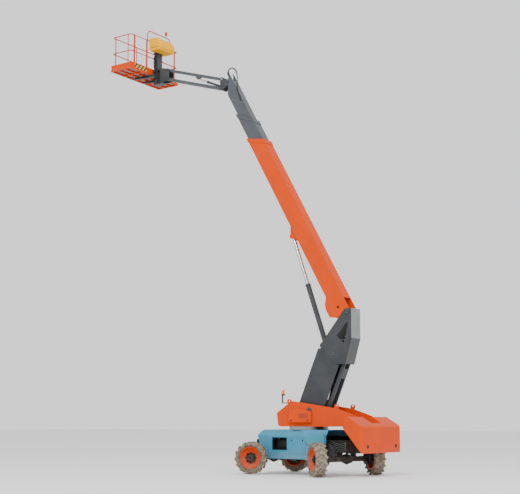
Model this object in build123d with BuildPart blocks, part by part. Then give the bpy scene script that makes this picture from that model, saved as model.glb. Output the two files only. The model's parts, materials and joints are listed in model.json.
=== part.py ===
from build123d import *
import os
from math import atan2, cos, degrees, hypot, radians, sin

# Self-propelled boom lift with four steered wheels, a slewing turntable, a lower
# parallelogram arm, a three-stage telescopic boom, a jib and a railed platform.
# Millimetres. The origin is on the ground under the slewing axis, +X is the way the
# boom points, +Y is the machine's left and +Z is up.

# Fits and gaps
RUN_FIT = 0.05       # radial clearance of a pin in its bore
SEAT_GAP = 0.3       # gap between faces that slide or turn on each other
SIDE_GAP = 5.0       # side clearance between moving plates

# Wheels and tyres
TYRE_R = 465.0
TYRE_W = 340.0
LUG_H = 34.0
LUG_W = 46.0
LUG_COUNT = 15       # lugs around each half of the tread
LUG_ANGLE = 38.0     # lug direction from the axle
LUG_TILT = 1         # which way the chevrons point
RIM_SEAT_R = 290.0
RIM_FLANGE_R = 314.0
RIM_W = 280.0
RIM_WALL = 14.0
HUB_R = 95.0
HUB_PROUD = 125.0
WHEEL_SLOTS = 8
WHEEL_SLOT_R = 27.0
WHEEL_SLOT_RING_R = 150.0
SPINDLE_R = 60.0

# Axles and steering
WHEELBASE = 2800.0
TRACK = 2220.0
KINGPIN_INSET = 270.0   # kingpin axis inboard of the wheel's middle plane
KINGPIN_R = 35.0
BOSS_R = 80.0
BOSS_H = 200.0
YOKE_T = 48.0
AXLE_H = 140.0
AXLE_D = 150.0
DIFF_R = 150.0
FRONT_STEER = 30.0
REAR_STEER = -30.0

# Chassis
CHASSIS_YAW = -10.0
CHASSIS_W = 1200.0
CHASSIS_WALL = 12.0
BELLY_Z = 440.0
SHOULDER_Z = 1095.0
DECK_Z = 1260.0
DECK_W = 1000.0
RAIL_Y = 280.0
RAIL_W = 60.0
RAIL_BOTTOM_Z = 640.0
RAIL_TOP_Z = 980.0
FRAME_END_X = 1700.0
END_PLATE_T = 20.0
EYE_R = 25.0
SLEW_R = 560.0
SLEW_BORE_R = 380.0

# Turntable
FLOOR_Z = 1350.0
FLOOR_T = 30.0
CHEEK_Y = 450.0
CHEEK_T = 30.0
CW_W = 2240.0
LIFT_HOLE_R = 28.0

# Lower arm, its link and the upright
ARM_ANGLE = 67.0
ARM_LENGTH = 1735.0
ARM_FOOT_X = -300.0
ARM_FOOT_Z = 1800.0
ARM_W = 440.0
ARM_FRONT = 536.0       # front face ahead of the pivot line
ARM_REAR = 288.0        # open rear edge behind the pivot line
ARM_WALL = 16.0
LINK_DX = -320.0        # link pivots from the arm pivots
LINK_DZ = -230.0
LINK_BAR_Y = 120.0
LINK_BAR_W = 56.0
LINK_BAR_D = 100.0
UPRIGHT_T = 20.0
PIN_R = 45.0
SMALL_PIN_R = 30.0

# Boom
BOOM_ANGLE = 61.2
BOOM_DX = -477.0        # boom pivot from the arm's head pivot
BOOM_DZ = 1173.0
LIFT_DX = 361.0         # lift cylinder's lower pin from the arm's head pivot
LIFT_DZ = 239.0
BOOM_TOP = 76.0         # top face above the boom pivot
BOOM_D = 503.0
BOOM_WALL = 10.0
STAGE_GAP = 20.0        # space between one boom section and the next
BASE_END_TOP = 6130.0
BASE_END_BOTTOM = 6530.0
MID_TAIL = 1420.0
MID_END_TOP = 6960.0
MID_END_BOTTOM = 7490.0
FLY_TAIL = 2200.0
FLY_END_TOP = 8920.0
FLY_END_BOTTOM = 8250.0
FLY_WALL = 12.0
COLLAR_T = 12.0
COLLAR_L = 150.0
PAD_L = 160.0
LIFT_PIN_S = 3002.0
LIFT_PIN_N = -587.0
LIFT_ROD_R = 60.0
LIFT_BARREL_R = 76.0
LIFT_EYE_W = 120.0

# Jib
JIB_ANGLE = 17.5
JIB_LENGTH = 2307.0
JIB_X = 3100.0
JIB_Z = 12190.0
JIB_SPLIT = 310.0       # lower pivots below the upper ones
JIB_TUBE = 70.0
JIB_BAR_IN = 60.0
JIB_BAR_W = 40.0
JIB_BAR_D = 90.0
JIB_PLATE_T = 16.0
LEVEL_S = 8620.0        # levelling pivot along and across the boom
LEVEL_N = -200.0

# Platform
ROTATOR_X = 5600.0
ROTATOR_R = 120.0
BASKET_X0 = 5930.0
BASKET_X1 = 6800.0
BASKET_HALF = 1220.0
BASKET_Z = 12790.0
BASKET_FLOOR_H = 60.0
RAIL_TOP = 13970.0
RAIL_MID = 13400.0
RAIL_R = 17.0
POST_R = 14.0
RAIL_CORNER_R = 85.0
TOE_H = 150.0
GATE_Y0 = 420.0
GATE_Y1 = 1000.0

os.makedirs("parts", exist_ok=True)

# Frames of reference
chassis_plan = Plane.XY.rotated((0, 0, CHASSIS_YAW))
chassis_side = Plane(origin=(0, 0, 0), x_dir=chassis_plan.x_dir, z_dir=-chassis_plan.y_dir)
chassis_section = Plane(origin=(0, 0, 0), x_dir=chassis_plan.y_dir, z_dir=chassis_plan.x_dir)


def across(x, z, y=0.0):
    """Upright fore-and-aft plane whose origin is on a cross pin at x, z."""
    return Plane(origin=(x, y, z), x_dir=(1, 0, 0), z_dir=(0, -1, 0))


def along(x, z, angle, y=0.0):
    """The same plane turned so that its local x runs up at an angle."""
    heading = (cos(radians(angle)), 0, sin(radians(angle)))
    return Plane(origin=(x, y, z), x_dir=heading, z_dir=(0, -1, 0))


def reach(start, angle, length, rise=0.0):
    """Point at a length along and a rise across a member that starts at start."""
    c, s = cos(radians(angle)), sin(radians(angle))
    return start[0] + length * c - rise * s, start[1] + length * s + rise * c


def slab(plane, points, depth, mode=Mode.ADD):
    """Prism of a flat outline, half its depth each side of the plane."""
    with BuildSketch(plane) as outline:
        with BuildLine():
            Polyline(*points, close=True)
        make_face()
    extrude(outline.sketch, amount=depth / 2, both=True, mode=mode)


def drum(plane, radius, depth, mode=Mode.ADD):
    """Round bar across a plane, half its depth each side."""
    with BuildSketch(plane) as disc:
        Circle(radius)
    extrude(disc.sketch, amount=depth / 2, both=True, mode=mode)


def block(plane, x0, x1, y0, y1, depth, mode=Mode.ADD):
    """Box between two local corners, half its depth each side of the plane."""
    slab(plane, [(x0, y0), (x1, y0), (x1, y1), (x0, y1)], depth, mode)


def save(piece, name):
    piece.part.label = name
    export_step(piece.part, f"parts/{name}.step")


# Chassis frame: two rails, end plates with tie-down eyes and a slewing pedestal
with BuildPart() as chassis_frame:
    for side in (-1, 1):
        with BuildSketch(chassis_plan.offset(RAIL_BOTTOM_Z)):
            with Locations((0, side * RAIL_Y)):
                Rectangle(2 * FRAME_END_X, RAIL_W)
        extrude(amount=RAIL_TOP_Z - RAIL_BOTTOM_Z)
    for end in (-1, 1):
        plate_plane = chassis_section.offset(end * (FRAME_END_X + END_PLATE_T / 2))
        block(plate_plane, -RAIL_Y - 110, RAIL_Y + 110, RAIL_BOTTOM_Z - 20, RAIL_TOP_Z, END_PLATE_T)
        for side in (-1, 1):
            eye = chassis_side.offset(-side * RAIL_Y)
            x0 = end * (FRAME_END_X + END_PLATE_T)
            slab(eye, [(x0, 700), (x0 + end * 90, 720), (x0 + end * 90, 800), (x0, 820)], END_PLATE_T)
            hole = Plane(eye.from_local_coords((x0 + end * 45, 760)), x_dir=eye.x_dir, z_dir=eye.z_dir)
            drum(hole, EYE_R, 2 * END_PLATE_T, Mode.SUBTRACT)
    with BuildSketch(chassis_plan.offset(RAIL_TOP_Z)):
        Circle(SLEW_R - 90)
        Circle(SLEW_BORE_R, mode=Mode.SUBTRACT)
    extrude(amount=DECK_Z - CHASSIS_WALL - RAIL_TOP_Z)
    with BuildSketch(chassis_plan.offset(RAIL_TOP_Z - 30)):
        Rectangle(2 * SLEW_R, 2 * RAIL_Y)
    extrude(amount=30)
save(chassis_frame, "chassis_frame")

# Chassis body: bevelled hood between the axles, open below and behind
BODY_SIDE = [
    (1250, BELLY_Z),
    (1480, SHOULDER_Z),
    (1330, DECK_Z),
    (-1180, DECK_Z),
    (-1180, 880),
    (-760, 620),
    (-640, BELLY_Z),
]
BODY_SECTION = [
    (-CHASSIS_W / 2, BELLY_Z - 50),
    (CHASSIS_W / 2, BELLY_Z - 50),
    (CHASSIS_W / 2, SHOULDER_Z),
    (DECK_W / 2, DECK_Z),
    (-DECK_W / 2, DECK_Z),
    (-CHASSIS_W / 2, SHOULDER_Z),
]
BODY_REACH = 4000.0
WINDOW = (310.0, 880.0, 690.0, 1040.0)
with BuildPart() as chassis_body:
    slab(chassis_side, BODY_SIDE, CHASSIS_W)
    slab(chassis_section, BODY_SECTION, BODY_REACH, Mode.INTERSECT)
    body_faces = chassis_body.faces()
    rear_face = body_faces.sort_by(Axis((0, 0, 0), chassis_plan.x_dir))[0]
    belly_face = body_faces.sort_by(Axis.Z)[0]
    offset(amount=-CHASSIS_WALL, openings=[rear_face, belly_face], kind=Kind.INTERSECTION)
    block(chassis_side, WINDOW[0], WINDOW[1], WINDOW[2], WINDOW[3], CHASSIS_W + 40, Mode.SUBTRACT)
    block(chassis_side, 1000, 1500, BELLY_Z - 20, RAIL_BOTTOM_Z + 10, 2 * DIFF_R + 80, Mode.SUBTRACT)
    for side in (-1, 1):
        rail_slot = chassis_side.offset(-side * RAIL_Y)
        block(rail_slot, 1200, 1600, RAIL_BOTTOM_Z - SIDE_GAP, RAIL_TOP_Z + SIDE_GAP,
              RAIL_W + 2 * SIDE_GAP, Mode.SUBTRACT)
        block(rail_slot, -1300, -600, RAIL_BOTTOM_Z - SIDE_GAP, RAIL_TOP_Z + SIDE_GAP,
              RAIL_W + 2 * SIDE_GAP, Mode.SUBTRACT)
save(chassis_body, "chassis_body")

# Wheel-arch boxes raised on the body's rear shoulders
with BuildPart() as arch_boxes:
    for side in (-1, 1):
        arch = chassis_side.offset(-side * (CHASSIS_W / 2 + 45))
        slab(arch, [(-1180, 890), (-560, 890), (-480, 980), (-480, SHOULDER_Z - 20),
                    (-560, SHOULDER_Z + 40), (-1180, SHOULDER_Z + 40)], 90)
save(arch_boxes, "arch_boxes")

# Valve block and manifold behind the body's side windows
with BuildPart() as valve_blocks:
    for side in (-1, 1):
        bank = chassis_side.offset(-side * (RAIL_Y + RAIL_W / 2 + 70))
        block(bank, 380, 820, 760, 960, 140)
        for spool in range(5):
            x = 430 + 85 * spool
            cap = Plane(bank.from_local_coords((x, 960)), x_dir=bank.x_dir, z_dir=(0, 0, 1))
            drum(cap, 26, 120)
save(valve_blocks, "valve_blocks")

# Slewing ring under the turntable
with BuildPart() as slew_ring:
    with BuildSketch(Plane.XY.offset(DECK_Z)):
        Circle(SLEW_R)
        Circle(SLEW_BORE_R, mode=Mode.SUBTRACT)
    extrude(amount=FLOOR_Z - SEAT_GAP - DECK_Z)
save(slew_ring, "slew_ring")

# Axles: beam, kingpin bosses, differential and drive motor
for axle_name, axle_x, motor_way in (("front_axle", WHEELBASE / 2, -1), ("rear_axle", -WHEELBASE / 2, 1)):
    kingpin_y = TRACK / 2 - KINGPIN_INSET
    with BuildPart() as axle:
        beam = chassis_section.offset(axle_x)
        block(beam, -kingpin_y, kingpin_y, TYRE_R - AXLE_H / 2, TYRE_R + AXLE_H / 2, AXLE_D)
        for side in (-1, 1):
            boss = chassis_plan.offset(TYRE_R)
            boss_at = Plane(boss.from_local_coords((axle_x, side * kingpin_y)), z_dir=(0, 0, 1))
            drum(boss_at, BOSS_R, BOSS_H)
            pad = chassis_side.offset(-side * RAIL_Y)
            block(pad, axle_x - AXLE_D / 2, axle_x + AXLE_D / 2, TYRE_R, RAIL_BOTTOM_Z, RAIL_W)
        with BuildSketch(chassis_section.offset(axle_x)) as bowl:
            with Locations((0, TYRE_R)):
                Circle(DIFF_R)
        extrude(bowl.sketch, amount=DIFF_R, both=True, taper=18)
        nose = chassis_section.offset(axle_x + motor_way * (DIFF_R + 90))
        nose_at = Plane(nose.from_local_coords((0, TYRE_R)), z_dir=nose.z_dir)
        drum(nose_at, 85, 240)
        for side in (-1, 1):
            boss_at = Plane(chassis_plan.from_local_coords((axle_x, side * kingpin_y, TYRE_R)))
            drum(boss_at, KINGPIN_R + RUN_FIT, 2 * BOSS_H, Mode.SUBTRACT)
    save(axle, axle_name)

# Wheel stations: name, chassis x sign, chassis y sign, steering angle at rest
STATIONS = (
    ("front_left", 1, 1, FRONT_STEER),
    ("front_right", 1, -1, FRONT_STEER),
    ("rear_left", -1, 1, REAR_STEER),
    ("rear_right", -1, -1, REAR_STEER),
)
ARM_TOP = BOSS_H / 2 + SEAT_GAP
WEB_IN = 110.0          # knuckle web outboard of the kingpin
WEB_T = 40.0
HUB_IN = 70.0           # hub's inner end inboard of the wheel's middle plane
for station, x_sign, y_sign, steer in STATIONS:
    pin_y = y_sign * (TRACK / 2 - KINGPIN_INSET)
    kingpin = chassis_plan.from_local_coords((x_sign * WHEELBASE / 2, pin_y, TYRE_R))
    outboard = Vector(0, y_sign, 0).rotate(Axis.Z, CHASSIS_YAW + steer)
    # Local x is forward along the wheel, local y is outboard, local z is up or down
    knuckle_plan = Plane(kingpin, x_dir=outboard, z_dir=(0, 0, 1))
    wheel_centre = kingpin + outboard * KINGPIN_INSET
    disc_plane = Plane(wheel_centre, x_dir=(0, 0, 1), z_dir=outboard)
    revolve_plane = Plane(wheel_centre, x_dir=(0, 0, 1), z_dir=Vector(0, 0, 1).cross(outboard))
    spin_axis = Axis(wheel_centre, outboard)

    with BuildPart() as knuckle:
        for level in (-1, 1):
            yoke = knuckle_plan.offset(level * (ARM_TOP + YOKE_T / 2))
            drum(yoke, BOSS_R - 8, YOKE_T)
            block(yoke, 0, WEB_IN + WEB_T, -BOSS_R + 8, BOSS_R - 8, YOKE_T)
        block(knuckle_plan, WEB_IN, WEB_IN + WEB_T, -105, 105, 2 * (ARM_TOP + YOKE_T))
        drum(knuckle_plan, KINGPIN_R, 2 * (ARM_TOP + YOKE_T) + 40)
        shoulder_end = -HUB_IN - SEAT_GAP
        with BuildSketch(disc_plane.offset(WEB_IN + WEB_T - KINGPIN_INSET - 1)) as shoulder:
            Circle(SPINDLE_R + 28)
        extrude(shoulder.sketch, amount=shoulder_end - (WEB_IN + WEB_T - KINGPIN_INSET - 1))
        with BuildSketch(disc_plane.offset(shoulder_end - 1)) as stub:
            Circle(SPINDLE_R)
        extrude(stub.sketch, amount=88 - shoulder_end)
    save(knuckle, f"{station}_knuckle")

    bore = SPINDLE_R + RUN_FIT
    half = RIM_W / 2
    inner = RIM_SEAT_R - RIM_WALL
    # Wheel section from the hub's inner end round the rim to the hub cap: radius, outboard
    wheel_profile = [
        (bore, -HUB_IN), (120, -HUB_IN), (120, 18), (200, 18), (inner, 62), (inner, -half),
        (RIM_FLANGE_R, -half), (RIM_FLANGE_R, -half + 12), (RIM_SEAT_R, -half + 24),
        (RIM_SEAT_R, half - 24), (RIM_FLANGE_R, half - 12), (RIM_FLANGE_R, half),
        (RIM_FLANGE_R - 22, half), (inner - 4, half - 40), (inner - 8, 86), (200, 38), (125, 38),
        (HUB_R, 62), (HUB_R, HUB_PROUD - 18), (HUB_R - 22, HUB_PROUD), (0, HUB_PROUD),
        (0, 92), (bore, 92),
    ]
    with BuildPart() as wheel:
        with BuildSketch(revolve_plane) as section:
            with BuildLine():
                Polyline(*wheel_profile, close=True)
            make_face()
        revolve(section.sketch, axis=spin_axis)
        with BuildSketch(disc_plane) as slots:
            with PolarLocations(WHEEL_SLOT_RING_R, WHEEL_SLOTS):
                Circle(WHEEL_SLOT_R)
        extrude(slots.sketch, amount=HUB_PROUD, mode=Mode.SUBTRACT)
    save(wheel, f"{station}_wheel")

    bead = RIM_SEAT_R + SEAT_GAP
    carcass_r = TYRE_R - LUG_H
    wall_y = TYRE_W / 2 - 10
    with BuildPart() as tyre:
        with BuildSketch(revolve_plane) as casing:
            with BuildLine():
                Polyline((bead, half - 30), (bead + 24, half - 30))
                ThreePointArc((bead + 24, half - 30), (bead + 70, wall_y), (carcass_r - 18, wall_y - 18))
                Polyline((carcass_r - 18, wall_y - 18), (carcass_r, wall_y - 60), (carcass_r, 0), (bead, 0),
                         (bead, half - 30))
            make_face()
            mirror(about=Plane.XZ)
        revolve(casing.sketch, axis=spin_axis)
        lug_l = TYRE_W / 2 / cos(radians(LUG_ANGLE)) - 12
        lug_half = lug_l / 2 * sin(radians(LUG_ANGLE)) + LUG_W / 2 * cos(radians(LUG_ANGLE))
        lug_top = (TYRE_R ** 2 - lug_half ** 2) ** 0.5
        # A corner of one lug on each flank stands on the ground
        corner_turn = degrees(atan2(lug_half, lug_top))
        for flank in (-1, 1):
            for step in range(LUG_COUNT):
                turn = 180 + 360 / LUG_COUNT * step - flank * corner_turn
                spoke = Vector(0, 0, 1).rotate(Axis((0, 0, 0), outboard), turn)
                lug_dir = outboard.rotate(Axis((0, 0, 0), spoke), LUG_TILT * flank * LUG_ANGLE)
                root = wheel_centre + spoke * (carcass_r - 12) + outboard * (flank * TYRE_W / 4)
                with BuildSketch(Plane(root, x_dir=lug_dir, z_dir=spoke)) as lug:
                    Rectangle(lug_l, LUG_W)
                extrude(lug.sketch, amount=lug_top - carcass_r + 12)
    save(tyre, f"{station}_tyre")

# Turntable: two cheek plates on a floor, joined by a nose plate and pivot brackets
arm_foot = (ARM_FOOT_X, ARM_FOOT_Z)
link_foot = (ARM_FOOT_X + LINK_DX, ARM_FOOT_Z + LINK_DZ)
TRAY_TOP = 1415.0
ARM_LIFT_X = -450.0
ARM_BARREL_R = 62.0
ARM_LIFT_Z = 1460.0
CW_FRONT_X = -1780.0
CW_FRONT_Z = 1310.0
CW_TOP_X = -1830.0
CW_TOP_Z = 1600.0
CW_REAR_X = -2350.0
CHEEK = [
    (750, FLOOR_Z + 40), (800, 1730), (420, 1990), (260, 2070), (-1210, 1850), (CW_TOP_X, CW_TOP_Z + 40),
    (CW_TOP_X, CW_TOP_Z), (CW_FRONT_X, CW_FRONT_Z), (-1700, FLOOR_Z), (700, FLOOR_Z),
]
with BuildPart() as turntable_frame:
    with BuildSketch(Plane.XY.offset(FLOOR_Z)) as floor_sheet:
        with Locations((-500, 0)):
            Rectangle(2400, 2 * CHEEK_Y)
    extrude(floor_sheet.sketch, amount=FLOOR_T)
    for side in (-1, 1):
        cheek = across(0, 0, side * CHEEK_Y)
        slab(cheek, CHEEK, CHEEK_T)
        for lug_x, lug_z in ((370, 2050), (-1200, 1900)):
            drum(across(lug_x, lug_z, side * CHEEK_Y), 75, CHEEK_T)
            drum(across(lug_x, lug_z + 25, side * CHEEK_Y), LIFT_HOLE_R, 3 * CHEEK_T, Mode.SUBTRACT)
        boss_in = ARM_W / 2 + SIDE_GAP
        boss_l = CHEEK_Y - boss_in
        drum(across(ARM_FOOT_X, ARM_FOOT_Z, side * (boss_in + boss_l / 2)), 95, boss_l)
        ear_y = LINK_BAR_Y + LINK_BAR_W / 2 + SIDE_GAP + 12
        ear = across(0, 0, side * ear_y)
        slab(ear, [(link_foot[0] - 90, FLOOR_Z + 10), (link_foot[0] + 90, FLOOR_Z + 10),
                   (link_foot[0] + 50, link_foot[1]), (link_foot[0] - 50, link_foot[1])], 24)
        drum(across(link_foot[0], link_foot[1], side * ear_y), 50, 24)
        drum(across(link_foot[0], link_foot[1], side * LINK_BAR_Y), SMALL_PIN_R, LINK_BAR_W + 2 * SIDE_GAP + 20)
    for side in (-1, 1):
        ear_y = ARM_BARREL_R + SIDE_GAP + 10
        block(across(0, 0, side * ear_y), ARM_LIFT_X - 55, ARM_LIFT_X + 55, FLOOR_Z + 10, ARM_LIFT_Z, 20)
        drum(across(ARM_LIFT_X, ARM_LIFT_Z, side * ear_y), 55, 20)
    drum(across(ARM_LIFT_X, ARM_LIFT_Z), SMALL_PIN_R, 2 * ear_y)
    tray_y = CHEEK_Y + CHEEK_T / 2 - 2
    block(across(0, 0, -(tray_y + 260)), -1100, 380, TRAY_TOP - 20, TRAY_TOP, 520)
    drum(across(ARM_FOOT_X, ARM_FOOT_Z), PIN_R, 2 * CHEEK_Y)
    slab(across(0, 0), [(800, 1730), (420, 1990), (420, 1966), (776, 1722)], 2 * CHEEK_Y)
    slab(across(0, 0), [(750, FLOOR_Z + 40), (800, 1730), (776, 1730), (726, FLOOR_Z + 20)], 2 * CHEEK_Y)
save(turntable_frame, "turntable_frame")

# Counterweight: wide wedge behind the cheeks, its belly clear of the wheels, with a trough for the arm
CW_SIDE = [
    (CW_FRONT_X, CW_FRONT_Z), (CW_REAR_X, 640), (CW_REAR_X - 20, 700), (CW_REAR_X - 20, 1330),
    (CW_REAR_X + 20, 1380), (-1910, 1620), (CW_TOP_X, CW_TOP_Z),
]
with BuildPart() as counterweight:
    slab(across(0, 0), CW_SIDE, CW_W)
    corner_edges = counterweight.faces().sort_by(Axis.X)[0].edges().filter_by(Axis.Z)
    chamfer(corner_edges, length=70)
    trough = ARM_W / 2 + UPRIGHT_T + 7 * SIDE_GAP
    block(across(0, 0), CW_REAR_X - 100, -1700, 1450, 2000, 2 * trough, Mode.SUBTRACT)
save(counterweight, "counterweight")

# Hinged side covers: left valve cover and right engine hood, each a shell open to the cheek
COVER_WALL = 6.0
COVERS = (
    ("left_cover", 1, [(-400, 1450), (330, 1450), (400, 1540), (330, 1800), (60, 1850), (-400, 1770)], 95.0),
    ("engine_hood", -1, [(-1150, 1420), (420, 1420), (500, 1520), (420, 1790), (-1150, 1790)], 520.0),
)
for cover_name, side, outline, depth in COVERS:
    with BuildPart() as cover:
        near = CHEEK_Y + CHEEK_T / 2 + SEAT_GAP
        slab(across(0, 0, side * (near + depth / 2)), outline, depth)
        outer = cover.faces().sort_by(Axis.Y)[-1 if side > 0 else 0]
        chamfer(outer.edges(), length=30)
        inside = cover.faces().sort_by(Axis.Y)[0 if side > 0 else -1]
        openings = [inside]
        if side < 0:
            openings.append(cover.faces().sort_by(Axis.Z)[0])
        offset(amount=-COVER_WALL, openings=openings, kind=Kind.INTERSECTION)
    save(cover, cover_name)

# Engine block behind its hood, standing on a tray off the right cheek
with BuildPart() as engine_block:
    near = CHEEK_Y + CHEEK_T / 2
    block(across(0, 0, -(near + 200)), -900, 200, TRAY_TOP, 1740, 400)
save(engine_block, "engine_block")

# Warning beacon on a bracket at the nose
with BuildPart() as beacon:
    block(across(0, 0, CHEEK_Y - CHEEK_T / 2 - 6 - SEAT_GAP), 330, 640, 2005, 2030, 12)
    block(across(0, 0, CHEEK_Y - CHEEK_T / 2 - 6 - SEAT_GAP), 600, 640, 2020, 2230, 12)
    with BuildSketch(Plane.XY.offset(2230)) as foot:
        with Locations((620, CHEEK_Y - 55)):
            Circle(55)
    extrude(foot.sketch, amount=40)
    with BuildSketch(Plane.XY.offset(2270)) as dome:
        with Locations((620, CHEEK_Y - 55)):
            Circle(48)
    extrude(dome.sketch, amount=120, taper=6)
save(beacon, "beacon")

# Lower arm: a deep channel open to the rear, with pivot tubes and a cylinder bracket
arm_head = reach(arm_foot, 180 - ARM_ANGLE, ARM_LENGTH)
ARM_SLOT = 100.0        # half width of the slot down the arm's front
ARM_TOE = 130.0         # side plates past the pivots
ARM_LIFT_S = 900.0
ARM_LIFT_N = 100.0
arm_plane = along(arm_foot[0], arm_foot[1], 180 - ARM_ANGLE)
# Local x runs up the arm and local y runs to its open rear side
ARM_OUTLINE = [
    (-60, -ARM_FRONT), (ARM_LENGTH - 60, -ARM_FRONT), (ARM_LENGTH + ARM_TOE, -220),
    (ARM_LENGTH + ARM_TOE, 180), (ARM_LENGTH + 40, ARM_REAR), (0, ARM_REAR), (-ARM_TOE, 120), (-ARM_TOE, -260),
]
with BuildPart() as lower_arm:
    slab(arm_plane, ARM_OUTLINE, ARM_W)
    hollow = [(-500, -ARM_FRONT + ARM_WALL), (ARM_LENGTH + 500, -ARM_FRONT + ARM_WALL),
              (ARM_LENGTH + 500, 600), (-500, 600)]
    slab(arm_plane, hollow, ARM_W - 2 * ARM_WALL, Mode.SUBTRACT)
    # The lift cylinder nests in this slot when the arm is stowed
    block(arm_plane, -500, ARM_LENGTH + 500, -ARM_FRONT - 50, -ARM_FRONT / 2, 2 * ARM_SLOT, Mode.SUBTRACT)
    for s in (0, ARM_LENGTH):
        pivot = Plane(arm_plane.from_local_coords((s, 0)), x_dir=arm_plane.x_dir, z_dir=arm_plane.z_dir)
        drum(pivot, 85, ARM_W)
    block(arm_plane, 150, ARM_LENGTH - 300, -40 - ARM_WALL, -40, ARM_W - ARM_WALL)
    for side in (-1, 1):
        ears = Plane(arm_plane.from_local_coords((0, 0, side * 62)), x_dir=arm_plane.x_dir, z_dir=arm_plane.z_dir)
        slab(ears, [(ARM_LIFT_S - 160, -48), (ARM_LIFT_S + 160, -48),
                    (ARM_LIFT_S + 55, ARM_LIFT_N), (ARM_LIFT_S - 55, ARM_LIFT_N)], 20)
        ear_tip = Plane(ears.from_local_coords((ARM_LIFT_S, ARM_LIFT_N)), x_dir=ears.x_dir, z_dir=ears.z_dir)
        drum(ear_tip, 55, 20)
    for s in (0, ARM_LENGTH):
        pivot = Plane(arm_plane.from_local_coords((s, 0)), x_dir=arm_plane.x_dir, z_dir=arm_plane.z_dir)
        drum(pivot, PIN_R + RUN_FIT, 2 * ARM_W, Mode.SUBTRACT)
save(lower_arm, "lower_arm")

# Parallel link inside the arm's open side: two bars tied by a cross plate
link_plane = along(link_foot[0], link_foot[1], 180 - ARM_ANGLE)
with BuildPart() as lower_link:
    for side in (-1, 1):
        bar = Plane(link_plane.from_local_coords((0, 0, side * LINK_BAR_Y)), x_dir=link_plane.x_dir,
                    z_dir=link_plane.z_dir)
        block(bar, 0, ARM_LENGTH, -LINK_BAR_D / 2, LINK_BAR_D / 2, LINK_BAR_W)
        for s in (0, ARM_LENGTH):
            eye = Plane(bar.from_local_coords((s, 0)), x_dir=bar.x_dir, z_dir=bar.z_dir)
            drum(eye, LINK_BAR_D / 2, LINK_BAR_W)
            drum(eye, SMALL_PIN_R + RUN_FIT, 2 * LINK_BAR_W, Mode.SUBTRACT)
    block(link_plane, ARM_LENGTH - 500, ARM_LENGTH - 200, LINK_BAR_D / 2 - 16, LINK_BAR_D / 2, 2 * LINK_BAR_Y)
save(lower_link, "lower_link")


def cylinder(start, end, barrel_r, rod_r, barrel_l, eye_r, eye_w, pin_r, overlap, foot_pinned):
    """Barrel and rod of a hydraulic cylinder between two cross pins, one of its eyes bored for the pin."""
    length = hypot(end[0] - start[0], end[1] - start[1])
    heading = (end[0] - start[0], 0, end[1] - start[1])
    low = across(start[0], start[1])
    high = across(end[0], end[1])
    axis_plane = Plane((start[0], 0, start[1]), x_dir=(0, 1, 0), z_dir=heading)
    base = eye_r + 14
    with BuildPart() as barrel:
        with BuildSketch(axis_plane.offset(base)) as tube:
            Circle(barrel_r)
        extrude(tube.sketch, amount=barrel_l - base)
        drum(low, eye_r, eye_w)
        with BuildSketch(axis_plane) as neck:
            Rectangle(eye_w - 4, 1.5 * eye_r)
        extrude(neck.sketch, amount=base + 10)
        gland = axis_plane.offset(barrel_l)
        with BuildSketch(gland) as nut:
            Circle(barrel_r + 8)
        extrude(nut.sketch, amount=40)
        with BuildSketch(gland.offset(40)) as bore:
            Circle(rod_r + RUN_FIT)
        extrude(bore.sketch, amount=-(barrel_l - base), mode=Mode.SUBTRACT)
        if foot_pinned:
            drum(low, pin_r + RUN_FIT, 2 * eye_w, Mode.SUBTRACT)
    with BuildPart() as rod:
        tail = Plane((end[0], 0, end[1]), x_dir=(0, 1, 0), z_dir=(-heading[0], 0, -heading[2]))
        with BuildSketch(tail) as bar:
            Circle(rod_r)
        extrude(bar.sketch, amount=length - barrel_l + overlap)
        drum(high, eye_r, eye_w)
        if not foot_pinned:
            drum(high, pin_r + RUN_FIT, 2 * eye_w, Mode.SUBTRACT)
    return barrel, rod


arm_lift_end = reach(arm_foot, 180 - ARM_ANGLE, ARM_LIFT_S, ARM_LIFT_N)
barrel, rod = cylinder((ARM_LIFT_X, ARM_LIFT_Z), arm_lift_end, ARM_BARREL_R, 42.0, 640.0, 48.0, 94.0,
                       SMALL_PIN_R, 120.0, True)
save(barrel, "arm_cylinder_barrel")
save(rod, "arm_cylinder_rod")

# Upright: two cheek plates with the pins of arm, link, boom and lift cylinder
link_head = (arm_head[0] + LINK_DX, arm_head[1] + LINK_DZ)
boom_pivot = (arm_head[0] + BOOM_DX, arm_head[1] + BOOM_DZ)
lift_foot = (arm_head[0] + LIFT_DX, arm_head[1] + LIFT_DZ)
UPRIGHT_REAR = BOOM_DX - 125.0
UPRIGHT_TOP = BOOM_DZ + 85.0
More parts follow.
